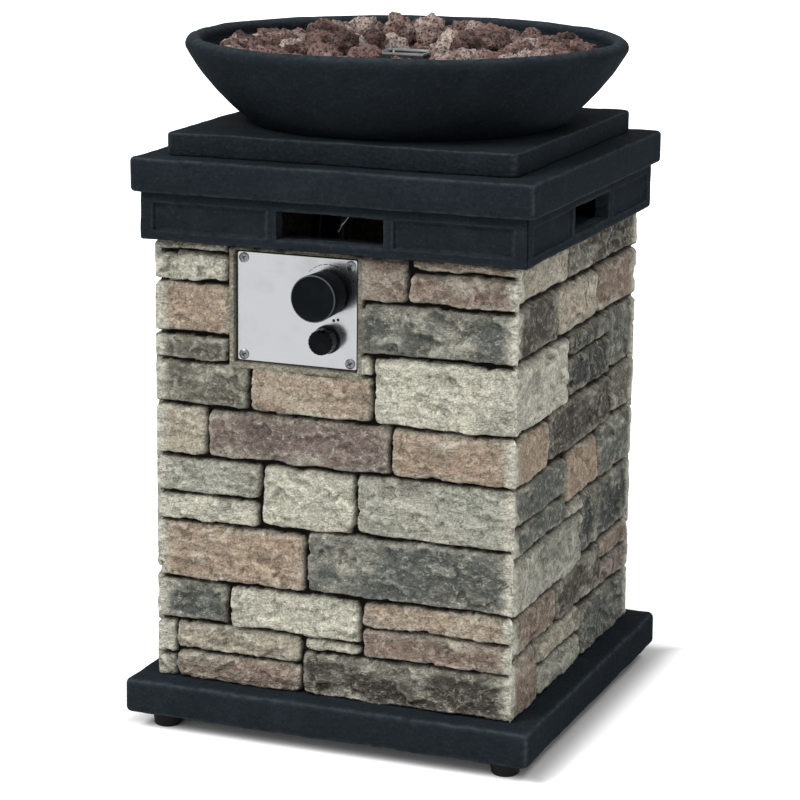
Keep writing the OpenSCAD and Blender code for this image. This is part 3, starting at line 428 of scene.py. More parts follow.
def rock_finish(settings):
    """Porous lava: red-brown with ashy crests, dark patches, and painted shade in its pores."""
    finish = Finish("lava_rock", Specular_IOR_Level=0.2)
    shade = finish.attribute("shade")
    pit = finish.attribute("pit")
    patch = finish.cloud(0.018, 4, 0.6)
    grain = finish.cloud(0.005, 2, 0.65, shift=2.3)
    speck = finish.cloud(0.0022, 1, 0.5, shift=4.1)
    # Small holes sunk in the bumps and darkened: painted shade
    hole = finish.cells(0.0034, 0.4)
    open_hole = finish.band(hole + grain * 0.6, 0.72, 0.48)
    base = finish.mix(finish.band(patch + shade * 0.6, 0.5, 0.95) * 0.85, settings.red, settings.ash)
    base = finish.mix(finish.band(patch + shade * 0.5, 0.5, 0.1) * 0.8, base, settings.deep)
    base = finish.mix(1.0, base, -0.4 + grain * 1.7 + speck * 1.2, "MULTIPLY")
    # Darker in the pits of the mesh: painted shade
    base = finish.mix(finish.band(pit, 0.1, 0.7) * 0.75, base, settings.deep)
    base = finish.mix(open_hole * 0.6, base, settings.deep)
    return finish.done(base, 0.86 + grain * 0.1, grain * 0.7 + speck * 0.3 - open_hole * 0.5, 0.0035)


def metal_finish(name, tint, rough, stretch=(1, 1, 1), size=0.006, tarnish=0.15, bump=0.00012):
    """Metal with drawn or brushed streaks, slight tarnish and uneven gloss."""
    finish = Finish(name, Metallic=1.0)
    streak = finish.cloud(size, 4, 0.7, stretch)
    film = finish.cloud(0.04, 4, 0.6, shift=5.3)
    dull = dimmed(tint, 1 - 2.5 * tarnish)
    base = finish.mix(finish.band(film, 0.45, 0.8) * 0.6 + streak * tarnish, tint, dull)
    return finish.done(base, rough - 0.06 + streak * 0.14 + film * 0.06, streak, bump, 0.5)


def heated_finish(name, tint, heated):
    """Steel sheet with straw and brown heat stains and faint soot."""
    finish = Finish(name, Metallic=1.0)
    film = finish.cloud(0.03, 5, 0.6)
    streak = finish.cloud(0.004, 4, 0.7, (1, 6, 6), 2.2)
    base = finish.mix(finish.band(film, 0.4, 0.72), tint, heated)
    base = finish.mix(finish.band(streak, 0.5, 0.8) * 0.25, base, dimmed(heated, 0.2))
    return finish.done(base, 0.24 + film * 0.2 + streak * 0.1, streak, 0.0001, 0.5)


def guard_finish(tint, soot, top):
    """Sooty steel sheet whose cut upper edge is bright; top is the edge's height."""
    finish = Finish("sooty_sheet", Metallic=0.9)
    film = finish.cloud(0.012, 3, 0.6)
    height = finish.node("ShaderNodeSeparateXYZ", None, finish.where).of("Z")
    edge = finish.band(height, top - 0.0026, top - 0.0014)
    sooty = finish.mix(finish.band(film, 0.35, 0.7), soot, dimmed(soot, 0.5))
    return finish.done(finish.mix(edge, sooty, tint), 0.3 + film * 0.25, film, 0.0004)


def moulded_finish(name, tint, rough, grain_size=0.0012, depth=0.00008, gloss=0.25):
    """Moulded plastic, rubber or ceramic: fine grain and slight handling marks."""
    finish = Finish(name, Specular_IOR_Level=gloss)
    grain = finish.cloud(grain_size, 3, 0.6)
    marks = finish.cloud(0.015, 4, 0.65, shift=3.3)
    light = [min(1, channel * 1.35 + 0.006) for channel in tint]
    base = finish.mix(finish.band(marks, 0.45, 0.75) * 0.6, tint, light)
    return finish.done(base, rough - 0.05 + marks * 0.14, grain, depth, 0.6)


def settings_of(context):
    """The fire column's settings in this scene."""
    return context.scene.fire_column


def box_mm(node):
    """A CAD node's lowest and highest corners at rest, in millimetres."""
    low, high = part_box(node)
    return low / MM, high / MM


def face_span():
    """Foot and height of the stone faces, in millimetres."""
    low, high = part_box("front_panel")
    return low.z / MM, (high.z - low.z) / MM


def dress(finish, *nodes):
    """Gives a finish to CAD nodes as they are."""
    for name in nodes:
        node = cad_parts[name]
        if not node.material_slots:
            node.data.materials.append(finish)
        for slot in node.material_slots:
            slot.material = finish


def piece(name, vertices, faces, body, slot, finish, *stands_for, sharp=40):
    """A new mesh, in metres, that rides on a body and may stand for CAD nodes."""
    mesh = bpy.data.meshes.new(name)
    mesh.from_pydata(vertices, [], faces)
    mesh.validate()
    mesh.materials.append(finish)
    mesh.shade_smooth()
    mesh.set_sharp_from_angle(angle=math.radians(sharp))
    made = bpy.data.objects.new(name, mesh)
    bpy.context.scene.collection.objects.link(made)
    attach(made, body)
    if stands_for:
        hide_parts(*stands_for)
    return made


def add_attribute(made, name, values, kind="FLOAT"):
    """Stores one value, or one colour, for each point of a mesh."""
    layer = made.data.attributes.new(name, kind, "POINT")
    field = "value" if kind == "FLOAT" else "color"
    layer.data.foreach_set(field, np.asarray(values, np.float32).ravel())


def clouds(across, along, layer, size, octaves=3):
    """Fractal noise, about -1 to 1, at each point; size gives the lumps' width both ways."""
    layers = np.broadcast_to(layer, across.shape)
    rows = np.stack((across / size[0], along / size[1], layers), -1).reshape(-1, 3)
    values = [noise.fractal(row, 0.9, 2.0, octaves) for row in rows.tolist()]
    return np.array(values).reshape(across.shape)


def waved(points, size, depth, seed=0.0):
    """Points moved by smooth vector noise, so that straight castings look poured."""
    moved = [Vector(point) + depth * noise.noise_vector(Vector(point) / size + Vector((seed, seed, seed)))
             for point in np.asarray(points).reshape(-1, 3).tolist()]
    return [tuple(point) for point in moved]


def soft_step(values, low, high):
    """A smooth step from 0 at low to 1 at high."""
    share = np.clip((values - low) / (high - low), 0, 1)
    return share * share * (3 - 2 * share)


def softened(grid, reach):
    """A grid averaged over this many points each way."""
    kernel = np.ones(2 * reach + 1) / (2 * reach + 1)

    def line(values):
        return np.convolve(np.pad(values, reach, "edge"), kernel, "valid")

    return np.apply_along_axis(line, 1, np.apply_along_axis(line, 0, grid))


def rounded_drop(edge, radius):
    """How far a rounded corner falls back, at this distance from its edge."""
    return radius - np.sqrt(np.maximum(radius**2 - np.maximum(radius - edge, 0) ** 2, 0))


def grid_quads(rows, columns):
    """Corner numbers of each cell of a point grid."""
    index = np.arange(rows * columns).reshape(rows, columns)
    return np.stack((index[:-1, :-1], index[:-1, 1:], index[1:, 1:], index[1:, :-1]), -1)


def cell_middles(grid):
    """Value at the middle of each cell of a point grid."""
    return (grid[:-1, :-1] + grid[1:, 1:]) / 2


def brinks(quads, keep, rim_kept):
    """First and last points of the sides where kept cells meet cut ones, for each of a cell's four sides."""
    around = np.pad(keep, 1, constant_values=rim_kept)
    rows, columns = keep.shape
    for side, (up_by, over_by) in enumerate(SIDE_STEPS):
        beside = around[1 + up_by:rows + 1 + up_by, 1 + over_by:columns + 1 + over_by]
        cells = quads[keep & ~beside]
        yield cells[:, side], cells[:, (side + 1) % 4]


def turned(points, degrees):
    """Points turned about the column's axis."""
    turn = np.array(Matrix.Rotation(math.radians(degrees), 3, "Z"))
    return points @ turn.T


def facets(across, along, size, tilt, dice):
    """Flat facets with small steps between them, as split stone has; size is their width both ways."""
    batch = 4000
    where = np.stack((across, along), -1).reshape(-1, 2) / size
    low, high = where.min(0), where.max(0)
    count = max(1, int(np.prod(high - low)))
    spots = dice.uniform(low, high, (count, 2))
    slopes = dice.normal(0, tilt, (count, 2)) * size
    levels = dice.uniform(-0.5, 0.5, count)
    heights = []
    for part in np.array_split(where, max(1, len(where) // batch)):
        away = part[:, None] - spots
        nearest = np.sum(away * away, 2).argmin(1)
        heights.append(levels[nearest] + np.sum((part - spots[nearest]) * slopes[nearest], 1))
    return softened(np.concatenate(heights).reshape(across.shape), 1)


def stone_depths(stones, laid_x, laid_z, wander, settings):
    """Depth inside the nearest stone at each point, the way to its foot and its head, and its number."""
    half = settings.half / MM
    tight = settings.tight / MM
    rounding = settings.rounding / MM
    overrun = 14
    at_corner = half - 0.5
    inside = np.full(laid_x.shape, -9.0)
    foot = np.full(laid_x.shape, 9.0)
    head = np.full(laid_x.shape, 9.0)
    number = np.zeros(laid_x.shape, int)
    for place, (left, right, low, high, _tint) in enumerate(stones):
        left = left - overrun if left <= -at_corner else left
        right = right + overrun if right >= at_corner else right
        sides = np.stack((laid_x - left, right - laid_x, laid_z - low, high - laid_z)) + tight + wander
        depth = -np.log(np.sum(np.exp(-np.clip(sides, -20, 40) / rounding), 0)) * rounding
        nearer = depth > inside
        inside[nearer] = depth[nearer]
        foot[nearer] = sides[2][nearer]
        head[nearer] = sides[3][nearer]
        number[nearer] = place
    return inside, foot, head, number


def stone_tints(stones, number, inside, edge, ledge, lumps, settings, dice):
    """Colour at each point: its stone's tint with patches, washed edges, painted shade on the ledge along its
    head, and pale corners.
    """
    tints = np.array([getattr(settings, stone[4]) for stone in stones])
    tints = (tints * dice.uniform(0.92, 1.08, (len(stones), 1)))[number]
    pale_patch = soft_step(lumps(6, (56, 34), 4), 0.0, 0.9) * 0.5
    dark_patch = soft_step(lumps(7, (56, 30), 4), 0.05, 0.9) * 0.5
    wash_reach = np.maximum(3, 9 + 9 * lumps(8, (26, 18), 4))
    wash = (1 - soft_step(np.minimum(inside, edge + 2), 0, wash_reach)) * 0.4
    wash = np.maximum(wash, (1 - soft_step(edge, 6, 19)) * 0.95)
    strip = (1 - soft_step(edge, 2, 12)) * 0.85
    # The ledge along each stone's head is darkened: painted shade
    for share, paint in ((dark_patch, settings.umber), (pale_patch, settings.pale), (wash, settings.wash),
                         (ledge * 0.55, settings.ledge), (strip, settings.cream)):
        tints = tints + share[..., None] * (np.array(paint) - tints)
    return tints


def stone_relief(stones, across, along, settings, seed, shadow):
    """Height over the bed, colour, share of the joints' dark and painted shadow, and ridge share at each point
    of a stone face, in millimetres.

    shadow widens the dark of the joints, for the faces that get less light.
    """
    relief = settings.relief / MM
    cleft = settings.cleft / MM
    dice = np.random.default_rng(seed)
    edge = settings.half / MM - np.abs(across)
    # Joints wander, and drift most away from the column's corners
    wander = 1.1 * clouds(across, along, seed, (30, 30)) + 0.7 * clouds(across, along, seed + 9, (9, 9))
    drift = 2.2 * soft_step(edge, 0, 40)
    laid_x = across + drift * clouds(across, along, seed + 21, (60, 45))
    laid_z = along + drift * clouds(across, along, seed + 33, (60, 45))
    inside, foot, head, number = stone_depths(stones, laid_x, laid_z, wander, settings)
    layer = number * 7.31 + seed

    def lumps(level, size, octaves):
        return clouds(across, along, layer + level, size, octaves)

    # Chipped edges and a sloping ledge along the head of each stone
    fine = lumps(2, (9, 7), 4)
    chips = np.clip(lumps(3, (18, 12), 3) - 0.25, 0, 1) * 4
    inside = inside - chips
    slope = 7 + 5 * lumps(4, (50, 50), 2)
    ledge = 1 - soft_step(head, 0, np.maximum(slope, 2.5))
    rise = (1 - np.exp(-np.maximum(inside, 0) / 0.8)) * (1 - 0.45 * ledge)
    # Height and lean of each stone, its lumps and facets, and a crack in some
    tall = relief * dice.uniform(0.84, 0.97, len(stones))[number]
    lean = dice.uniform(-1, 1, (2, len(stones)))
    tilt = lean[0][number] * np.sin(across / 60) * 0.6 + lean[1][number] * np.sin(along / 30) * 0.6
    broad = lumps(0, (48, 30), 3)
    split = facets(across + 6 * fine, along + 5 * fine + 0.35 * across, (30, 15), 0.07, dice)
    crack_line = np.abs(clouds(across + 5 * fine, along + 3 * fine, layer + 5, (150, 90), 2))
    cracked = dice.uniform(0, 1, len(stones))[number] < 0.25
    crack = cracked * (1 - soft_step(crack_line, 0.003, 0.014))
    crack = crack * soft_step(inside, 1, 4) * soft_step(broad, -0.3, 0.2)
    face = tilt + cleft * (0.6 * broad + split + 0.45 * fine) - 0.9 * crack
    height = tall * rise + face * np.clip(inside / 4, 0, 1) + 0.5 * fine * np.exp(-np.maximum(inside, 0))
    # Stones come up to one height at the column's corners, which are rounded
    corner = 1 - soft_step(edge, 0, 14)
    height = height + corner * 0.45 * np.maximum(0.9 * relief - height, 0)
    height = np.minimum(height, relief + 0.4 - rounded_drop(edge, settings.arris / MM))
    # Dark of the joints, widened as painted shade on the faces that get less light; painted shadow under each
    # stone and painted shade in its cracks; and how far a point stands out from those round it
    joint = 1 - soft_step(inside, -0.2, 0.8 * shadow)
    # Painted shadow just below the foot of each stone
    under = (1 - soft_step(foot, 0.3, 2.0 * shadow)) * 0.75
    shaded = np.maximum(joint, np.maximum(under, 0.6 * crack)) * (1 - 0.3 * corner)
    ridge = np.clip((face - softened(face, 4)) * 1.3, -1.2, 1.2)
    return height, stone_tints(stones, number, inside, edge, ledge, lumps, settings, dice), shaded, ridge


def bore_grid(placed, across, along, bores, foot):
    """Cells of a point grid that round bores leave; the points on their brinks move onto the circles."""
    middle_x = cell_middles(across)
    middle_z = cell_middles(along)
    keep = np.full(middle_x.shape, True)
    for x, z, radius in bores:
        cut = np.hypot(middle_x - x, middle_z - z) < radius
        keep &= ~cut
        beside = np.pad(cut, 1).astype(int)
        touched = beside[:-1, :-1] + beside[1:, :-1] + beside[:-1, 1:] + beside[1:, 1:]
        brink = (touched > 0) & (touched < 4)
        away = np.stack((across[brink] - x, along[brink] - z), -1)
        away *= radius / np.linalg.norm(away, axis=1, keepdims=True)
        placed[brink, 0] = x + away[:, 0]
        placed[brink, 2] = z + away[:, 1] + foot
    return keep


def bore_loops(quads, keep):
    """Rings of point numbers round the holes in a grid of cells."""
    after = {}
    for first, last in brinks(quads, keep, True):
        after.update(zip(first.tolist(), last.tolist()))
    loops = []
    while after:
        loop = [next(iter(after))]
        while loop[-1] in after:
            loop.append(after.pop(loop[-1]))
        loops.append(loop[:-1])
    return loops


def rear_faces(back, sizes, count):
    """Faces of a panel's flat rear: one polygon, or triangles where bores pass through it."""
    if len(sizes) == 1:
        return [tuple(range(count + len(back) - 1, count - 1, -1))]
    ends = np.cumsum([0] + sizes)
    outlines = [[Vector((x, z)) for x, _y, z in back[a:b]] for a, b in zip(ends, ends[1:])]
    faces = []
    for corners in tessellate_polygon(outlines):
        a, b, c = back[list(corners)]
        outward = np.cross(b - a, c - a)[1] > 0
        faces.append(tuple(count + corner for corner in (corners if outward else corners[::-1])))
    return faces


def fitted_stones(stones, low, high, half, tall):
    """A stone table fitted to a face: places from its middle and foot, cut to its ends, without slivers."""
    narrowest = 6
    fitted = []
    for left, right, under, over, tint in stones:
        left = left * 2 * half / TABLE_W - half
        right = right * 2 * half / TABLE_W - half
        left = max(left, low + 1) if low > -half else left
        right = min(right, high - 1) if high < half else right
        if right - left > narrowest:
            fitted.append((left, right, under * tall / TABLE_H, over * tall / TABLE_H, tint))
    return fitted


def stone_face(name, node, stones, turn, finish, settings, body, limits, seed, flats=(), step=1.0, shadow=1.0,
               bores=()):
    """A relief panel over a CAD panel: limits are its ends across and its foot and head, in millimetres.

    Each of flats is a plain patch: its ends across, its foot and head, its height and how dark it is.
    """
    half = settings.half / MM
    bed = half - settings.relief / MM
    inner = bed - settings.wall / MM
    foot, tall = face_span()
    low, high, bottom, top = limits
    spacing = settings.step / MM * step
    fewest = 8
    columns = max(fewest, round((high - low) / spacing)) + 1
    rows = max(fewest, round((top - bottom) / spacing)) + 1
    across, along = np.meshgrid(np.linspace(low, high, columns), np.linspace(bottom, top, rows))
    fitted = fitted_stones(stones, low, high, half, tall)
    height, tint, joint, ridge = stone_relief(fitted, across, along, settings, seed, shadow)
    for left, right, under, over, level, dark in flats:
        flat = np.minimum(np.minimum(across - left, right - across), np.minimum(along - under, over - along))
        share = soft_step(flat, -0.8, 0.4)
        height = height * (1 - share) + level * share
        joint = joint * (1 - share) + dark * share
        ridge = ridge * (1 - share)
        tint = tint + share[..., None] * (np.array(settings.border) - tint)
    ends = bed + height
    placed = np.stack((np.clip(across, -ends, ends), -bed - height, along + foot), -1)
    placed[..., 0] = np.clip(placed[..., 0], low, high)
    keep = bore_grid(placed, across, along, bores, foot)
    quads = grid_quads(rows, columns)
    index = np.arange(rows * columns).reshape(rows, columns)
    rim = np.concatenate((index[0, :-1], index[:-1, -1], index[-1, :0:-1], index[:0:-1, 0]))
    loops = [rim.tolist()] + bore_loops(quads, keep)
    front = placed.reshape(-1, 3)
    back = front[np.concatenate(loops)]
    back[:, 0] = np.clip(back[:, 0], max(low, -inner), min(high, inner))
    back[:, 1] = -inner
    faces = quads[keep].tolist()
    start = len(front)
    for loop in loops:
        faces += [(loop[k - 1], start + (k - 1) % len(loop), start + k, loop[k]) for k in range(len(loop))]
        start += len(loop)
    faces += rear_faces(back, [len(loop) for loop in loops], len(front))
    points = turned(np.concatenate((front, back)), turn) * MM
    made = piece(name, points.tolist(), faces, body, "cast_stone", finish, node, sharp=75)
    plain = np.zeros(len(back))
    inside_tint = np.tile(np.array(settings.border), (len(back), 1))
    tint = np.concatenate((tint.reshape(-1, 3), inside_tint))
    add_attribute(made, "tint", np.concatenate((tint, np.ones((len(tint), 1))), 1), "FLOAT_COLOR")
    add_attribute(made, "joint", np.concatenate((joint.ravel(), plain)))
    add_attribute(made, "ridge", np.concatenate((ridge.ravel(), plain)))


class FIRECOLUMN_OT_stone_faces(bpy.types.Operator):
    """Builds the stone relief of the panels, jambs and access door"""

    bl_idname = "firecolumn.stone_faces"
    bl_label = "Stone faces"

    def execute(self, context):
        settings = settings_of(context).stone
        finish = stone_finish(settings)
        half = settings.half / MM
        _foot, tall = face_span()
        whole = (-half, half, 0, tall)
        coarse = 1.4
        shaded = 1.8
        front = FRONT_STONES + PLATE_STONES
        rear = FRONT_STONES + REAR_STONES

        def face(name, node, stones, turn, limits, seed, body="column", **extra):
            stone_face(name, node, stones, turn, finish, settings, body, limits, seed, **extra)

        face("front_face", "front_panel", front, 0, whole, 11, flats=self.plate_flats(settings),
             bores=self.control_bores())
        face("right_face", "right_panel", SIDE_STONES, 90, whole, 23, shadow=shaded)
        face("left_face", "left_panel", SIDE_STONES, -90, whole, 37, step=coarse, shadow=shaded)
        face("door_face", "access_door", rear, 180, self.door_limits(), 41, "door",
             flats=self.door_flats(settings), step=coarse)
        jamb = -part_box("left_jamb")[1].x / MM
        face("left_jamb_face", "left_jamb", rear, 180, (jamb, half, 0, tall), 53)
        jamb = -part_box("right_jamb")[0].x / MM
        face("right_jamb_face", "right_jamb", rear, 180, (-half, jamb, 0, tall), 59,
             flats=self.jamb_flats(settings, jamb))
        return {"FINISHED"}

    def plate_flats(self, settings):
        """The smooth border round the control plate, and the sunk bed that the plate lies in, darkened as
        painted shade in the gap round the plate.
        """
        relief = settings.relief / MM
        foot, _tall = face_span()
        low, high = box_mm("control_plate")
        headroom = 4
        flats = []
        # The bed is nearly as dark as the joints: painted shade in the gap round the plate
        for grow, level, dark in ((7.5, 0.7 * relief, 0.05), (1.8, 0.0, 0.9)):
            head = high.z - foot + min(grow, headroom)
            flats.append((low.x - grow, high.x + grow, low.z - foot - grow, head, level, dark))
        return flats

    def control_bores(self):
        """Middle and radius of the holes behind the knob and the igniter button."""
        foot, _tall = face_span()
        bores = []
        for node, radius in (("control_knob", 25), ("igniter_button", 14)):
            low, high = box_mm(node)
            bores.append(((low.x + high.x) / 2, (low.z + high.z) / 2 - foot, radius))
        return bores

    def door_limits(self):
        """Ends, foot and head of the access door."""
        foot, _tall = face_span()
        low, high = box_mm("access_door")
        return low.x, high.x, low.z - foot, high.z - foot

    def hinge_spans(self):
        """Foot and head of the plain patches under the two hinges."""
        foot, _tall = face_span()
        low, high = box_mm("door_leaves")
        hinge_tall = 54
        margin = 6
        return ((low.z - foot - margin, low.z - foot + hinge_tall + margin),
                (high.z - foot - hinge_tall - margin, high.z - foot + margin))

    def door_flats(self, settings):
        """Plain patches of the door, seen from behind: under its hinge leaves and its pull."""
        relief = settings.relief / MM
        foot, _tall = face_span()
        hinge_end = -box_mm("access_door")[1].x
        leaf_end = -box_mm("door_leaves")[0].x + 8
        low, high = box_mm("door_pull")
        pads = [(hinge_end, leaf_end, under, over, relief, 0.1) for under, over in self.hinge_spans()]
        return pads + [(-high.x, -low.x, low.z - foot, high.z - foot, relief, 0.1)]

    def jamb_flats(self, settings, jamb):
        """Plain patches of the right jamb, under its hinge leaves."""
        relief = settings.relief / MM
        corner = -settings.half / MM + relief / 2
        return [(corner, jamb, under, over, relief, 0.1) for under, over in self.hinge_spans()]


def arc_points(across, up, radius, start, end, count):
    """Points of an arc in a profile, angles in degrees."""
    angles = np.radians(np.linspace(start, end, count))
    return [(across + radius * math.cos(angle), up + radius * math.sin(angle)) for angle in angles]


def ring_quads(rings, count, closed=False):
    """Quads between rings of this many points; in a closed set the last ring meets the first."""
    faces = []
    for ring in range(rings if closed else rings - 1):
        near = ring * count
        far = (ring + 1) % rings * count
        for k in range(count):
            after = (k + 1) % count
            faces.append((near + k, near + after, far + after, far + k))
    return faces


def swept_square(profile, half, corner):
    """Vertices and quads of a closed (inset, height) profile, swept round a square with soft corners."""
    spacing = 9
    side_count = round(2 * half / spacing)
    arc_count = 5
    loops = []
    for inset, height in profile:
        reach = half - inset
        radius = min(max(corner - inset, 1.0), reach)
        flat = reach - radius
        side = [(x, -reach) for x in np.linspace(-flat, flat, side_count)]
        bend = [(flat + radius * math.cos(a), -flat + radius * math.sin(a))
                for a in np.radians(np.linspace(-90, 0, arc_count + 2)[1:-1])]
        quarter = np.array([(x, y, height) for x, y in side + bend])
        loops.append(np.concatenate([turned(quarter, 90 * q) for q in range(4)]))
    return np.concatenate(loops), ring_quads(len(loops), len(loops[0]), True)


def soft_profile(bottom, top, edge, reach, hole_bottom=None):
    """Profile of a slab with rounded outer edges, from its edge in to a hole at this inset."""
    lower = arc_points(edge, bottom + edge, edge, 270, 180, 5)
    upper = arc_points(edge, top - edge, edge, 180, 90, 5)
    flat = [(inset, top) for inset in np.linspace(edge, reach, 8)[1:]]
    floor = bottom if hole_bottom is None else hole_bottom
    return lower + upper + flat + [(reach, floor)]


def edge_wear_and_highlight(made):
    """Marks the points of a casting that lie on a sharp or rounded edge, by the slant of their normals, to be
    paler as wear and as painted highlight.
    """
    strength = 3
    normals = np.array([vertex.normal[:] for vertex in made.data.vertices])
    slant = 1 - np.max(np.abs(normals), 1)
    add_attribute(made, "ridge", np.clip(slant * strength, 0, 1))


def grid_lines(marks, spacing):
    """Places from the first mark to the last, evenly spread between marks and about this far apart."""
    runs = [np.linspace(a, b, max(2, round((b - a) / spacing)) + 1)[:-1] for a, b in zip(marks, marks[1:])]
    return np.concatenate(runs + [marks[-1:]])


def frieze_side(half, low, high, inner, slot, recess):
    """Vertices and quads of one frieze side facing -Y.

    slot is the vent's half width, foot and head. recess is a panel's near and far ends and its depth.
    """
    slot_half, slot_low, slot_high = slot
    near, far, depth = recess
    brink = 0.7
    rim = 3
    round_off = 3.5
    spans = [mark + by for mark in (near, far) for by in (-brink, brink)]
    marks = [slot_half] + spans + [half - rim, half]
    marks = [-mark for mark in marks[::-1]] + marks
    levels = [low, low + rim, slot_low - brink, slot_low, slot_low + brink, slot_high - brink, slot_high,
              slot_high + brink, high]
    across, up = np.meshgrid(grid_lines(marks, 3.2), grid_lines(levels, 2.2))
    out = np.abs(across)
    hollow = np.minimum(np.minimum(out - near, far - out), np.minimum(up - slot_low, slot_high - up))
    sunk = depth * soft_step(hollow, -brink, brink)
    mouth = np.maximum(out - slot_half, np.maximum(slot_low - up, up - slot_high))
    sunk = sunk + 1.8 * (1 - soft_step(mouth, -0.1, 2.4)) * (mouth > -0.1)
    sunk = sunk + 2.2 * (1 - soft_step(up - low, 0, rim)) ** 2
    sunk = np.maximum(sunk, rounded_drop(half - out, round_off))
    ends = half - sunk
    front = np.stack((np.clip(across, -ends, ends), sunk - half, up), -1)
    back = np.stack((np.clip(across, -inner, inner), np.full(across.shape, -inner), up), -1)
    quads = grid_quads(*across.shape)
    middle_x = cell_middles(across)
    middle_z = cell_middles(up)
    keep = ~((np.abs(middle_x) < slot_half) & (middle_z > slot_low) & (middle_z < slot_high))
    count = across.size
    faces = quads[keep].tolist() + (quads[keep][:, ::-1] + count).tolist()
    for first, last in brinks(quads, keep, False):
        faces += np.stack((last, first, first + count, last + count), -1).tolist()
    return np.concatenate((front.reshape(-1, 3), back.reshape(-1, 3))), faces


def joined(*parts):
    """Vertices and faces of several meshes as one."""
    points = []
    faces = []
    for part_points, part_faces in parts:
        start = len(points)
        points += [tuple(point) for point in part_points]
        faces += [tuple(start + int(corner) for corner in face) for face in part_faces]
    return points, faces


def lathe(profile, count, ripple=None):
    """Vertices and quads of a profile of (radius, height) points turned about the Z axis."""
    points = []
    for radius, height in profile:
        for k in range(count):
            angle = 2 * math.pi * k / count
            reach = radius * (ripple(angle, radius, height) if ripple else 1)
            points.append((reach * math.cos(angle), reach * math.sin(angle), height))
    return points, ring_quads(len(profile), count)


def bezier(points, count):
    """Points of a cubic curve through its first and last control points."""
    shares = np.linspace(0, 1, count)[:, None]
    a, b, c, d = (np.array(point, float) for point in points)
    rest = 1 - shares
    return (a * rest**3 + 3 * b * rest**2 * shares + 3 * c * rest * shares**2 + d * shares**3).tolist()


class FIRECOLUMN_OT_castings(bpy.types.Operator):
    """Builds the base, the cap with its frieze, the bowl's plinth and the fire bowl as uneven castings"""

    bl_idname = "firecolumn.castings"
    bl_label = "Black castings"

    def execute(self, context):
        settings = settings_of(context).cast
        finish = cast_finish(settings)
        noise.seed_set(WAVE_SEED)
        self.base(settings, finish)
        self.cap(settings, finish)
        self.plinth(settings, finish)
        self.bowl(settings, finish)
        return {"FINISHED"}

    def pour(self, name, part, node, settings, finish, rubbed_and_lit=None):
        """Makes one casting from millimetre points, slightly uneven; the last argument marks its paler points,
        as wear and as painted highlight.
        """
        points, faces = part
        broad, fine, fine_share, fine_seed = 0.06, 0.017, 0.7, 5.0
        points = waved(np.array(points) * MM, broad, settings.wave)
        points = waved(points, fine, settings.wave * fine_share, fine_seed)
        made = piece(name, points, faces, "column", "cast_black", finish, node, sharp=50)
        if rubbed_and_lit is None:
            edge_wear_and_highlight(made)
        else:
            add_attribute(made, "ridge", rubbed_and_lit(np.array(points) / MM))

    def base(self, settings, finish):
        """The base: a slab with a hole, and a lip that stands up inside the panels."""
        low, high = box_mm("base_plinth")
        foot, _tall = face_span()
        half = high.x
        edge, corner = 6, 7
        profile = soft_profile(low.z, foot, edge, half - LIP_OUT)
        profile = profile[:-1] + [(half - LIP_OUT, high.z), (half - LIP_IN, high.z), (half - LIP_IN, low.z)]
        self.pour("base_casting", swept_square(profile, half, corner), "base_plinth", settings, finish)

    def cap(self, settings, finish):
        """The cap: a slab, a frieze of four sides under it, and a lipped flange that sits on the panels."""
        low, high = box_mm("top_cap")
        col_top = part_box("front_panel")[1].z / MM
        half = high.x
        frieze_half, wall, frieze_tall = 200, 16, 47
        hole_half, skin_thick = 105, 16
        flange_half, flange, seat = 197.5, 8, 0.4
        slab_low = col_top + frieze_tall
        skin = high.z - skin_thick
        hollow = frieze_half - wall
        slab = soft_profile(slab_low, high.z, 4.5, half - hole_half, skin)
        slab += [(half - hollow, skin), (half - hollow, slab_low)]
        ring = [(frieze_half - reach, height) for reach, height in (
            (flange_half, col_top + seat), (flange_half, col_top + flange), (LIP_IN, col_top + flange),
            (LIP_IN, low.z), (LIP_OUT, low.z), (LIP_OUT, col_top + seat))]
        slot = (55, col_top + 10, col_top + 37)
        recess = (66, 185, 3.5)
        side_points, side_faces = frieze_side(frieze_half, col_top, slab_low + 1, hollow, slot, recess)
        sides = [(turned(side_points, 90 * quarter), side_faces) for quarter in range(4)]
        parts = joined(swept_square(slab, half, 6), swept_square(ring, frieze_half, 3), *sides)
        self.pour("cap_casting", parts, "top_cap", settings, finish)

    def plinth(self, settings, finish):
        """The bowl's plinth: a plain slab with a hole."""
        low, high = box_mm("bowl_plinth")
        hole_half, edge, corner = 75, 3, 9
        profile = soft_profile(low.z, high.z, edge, high.x - hole_half)
        self.pour("plinth_casting", swept_square(profile, high.x, corner), "bowl_plinth", settings, finish)

    def bowl(self, settings, finish):
        """The fire bowl: a curved wall with a rolled lip, a ledge for the pan and a hole in its floor."""
        low, high = box_mm("fire_bowl")
        z = low.z
        rim, hole, floor, ledge = 8.5, 30, 16, 44
        rim_z = high.z - rim
        outside = bezier([(159, z + 2), (184, z + 24), (high.x - 16, z + 46), (high.x - 0.3, rim_z - 2)], 18)
        roll = arc_points(high.x - rim, rim_z, rim, -6, 196, 20)
        inside = [(192.5, z + 58.7), (180, z + ledge), (166, z + ledge)]
        hollow = bezier([(166, z + 40), (156, z + 24), (140, z + 17), (110, z + floor)], 8)
        profile = [(hole, z), (120, z), (157, z)] + outside + roll + inside + hollow
        profile += [(hole, z + floor), (hole, z)]
        # The top of the rim is marked paler: painted highlight
        self.pour("bowl_casting", lathe(profile, settings.facets), "fire_bowl", settings, finish,
                  lambda points: 0.7 * soft_step(points[:, 2], rim_z + 2, high.z))


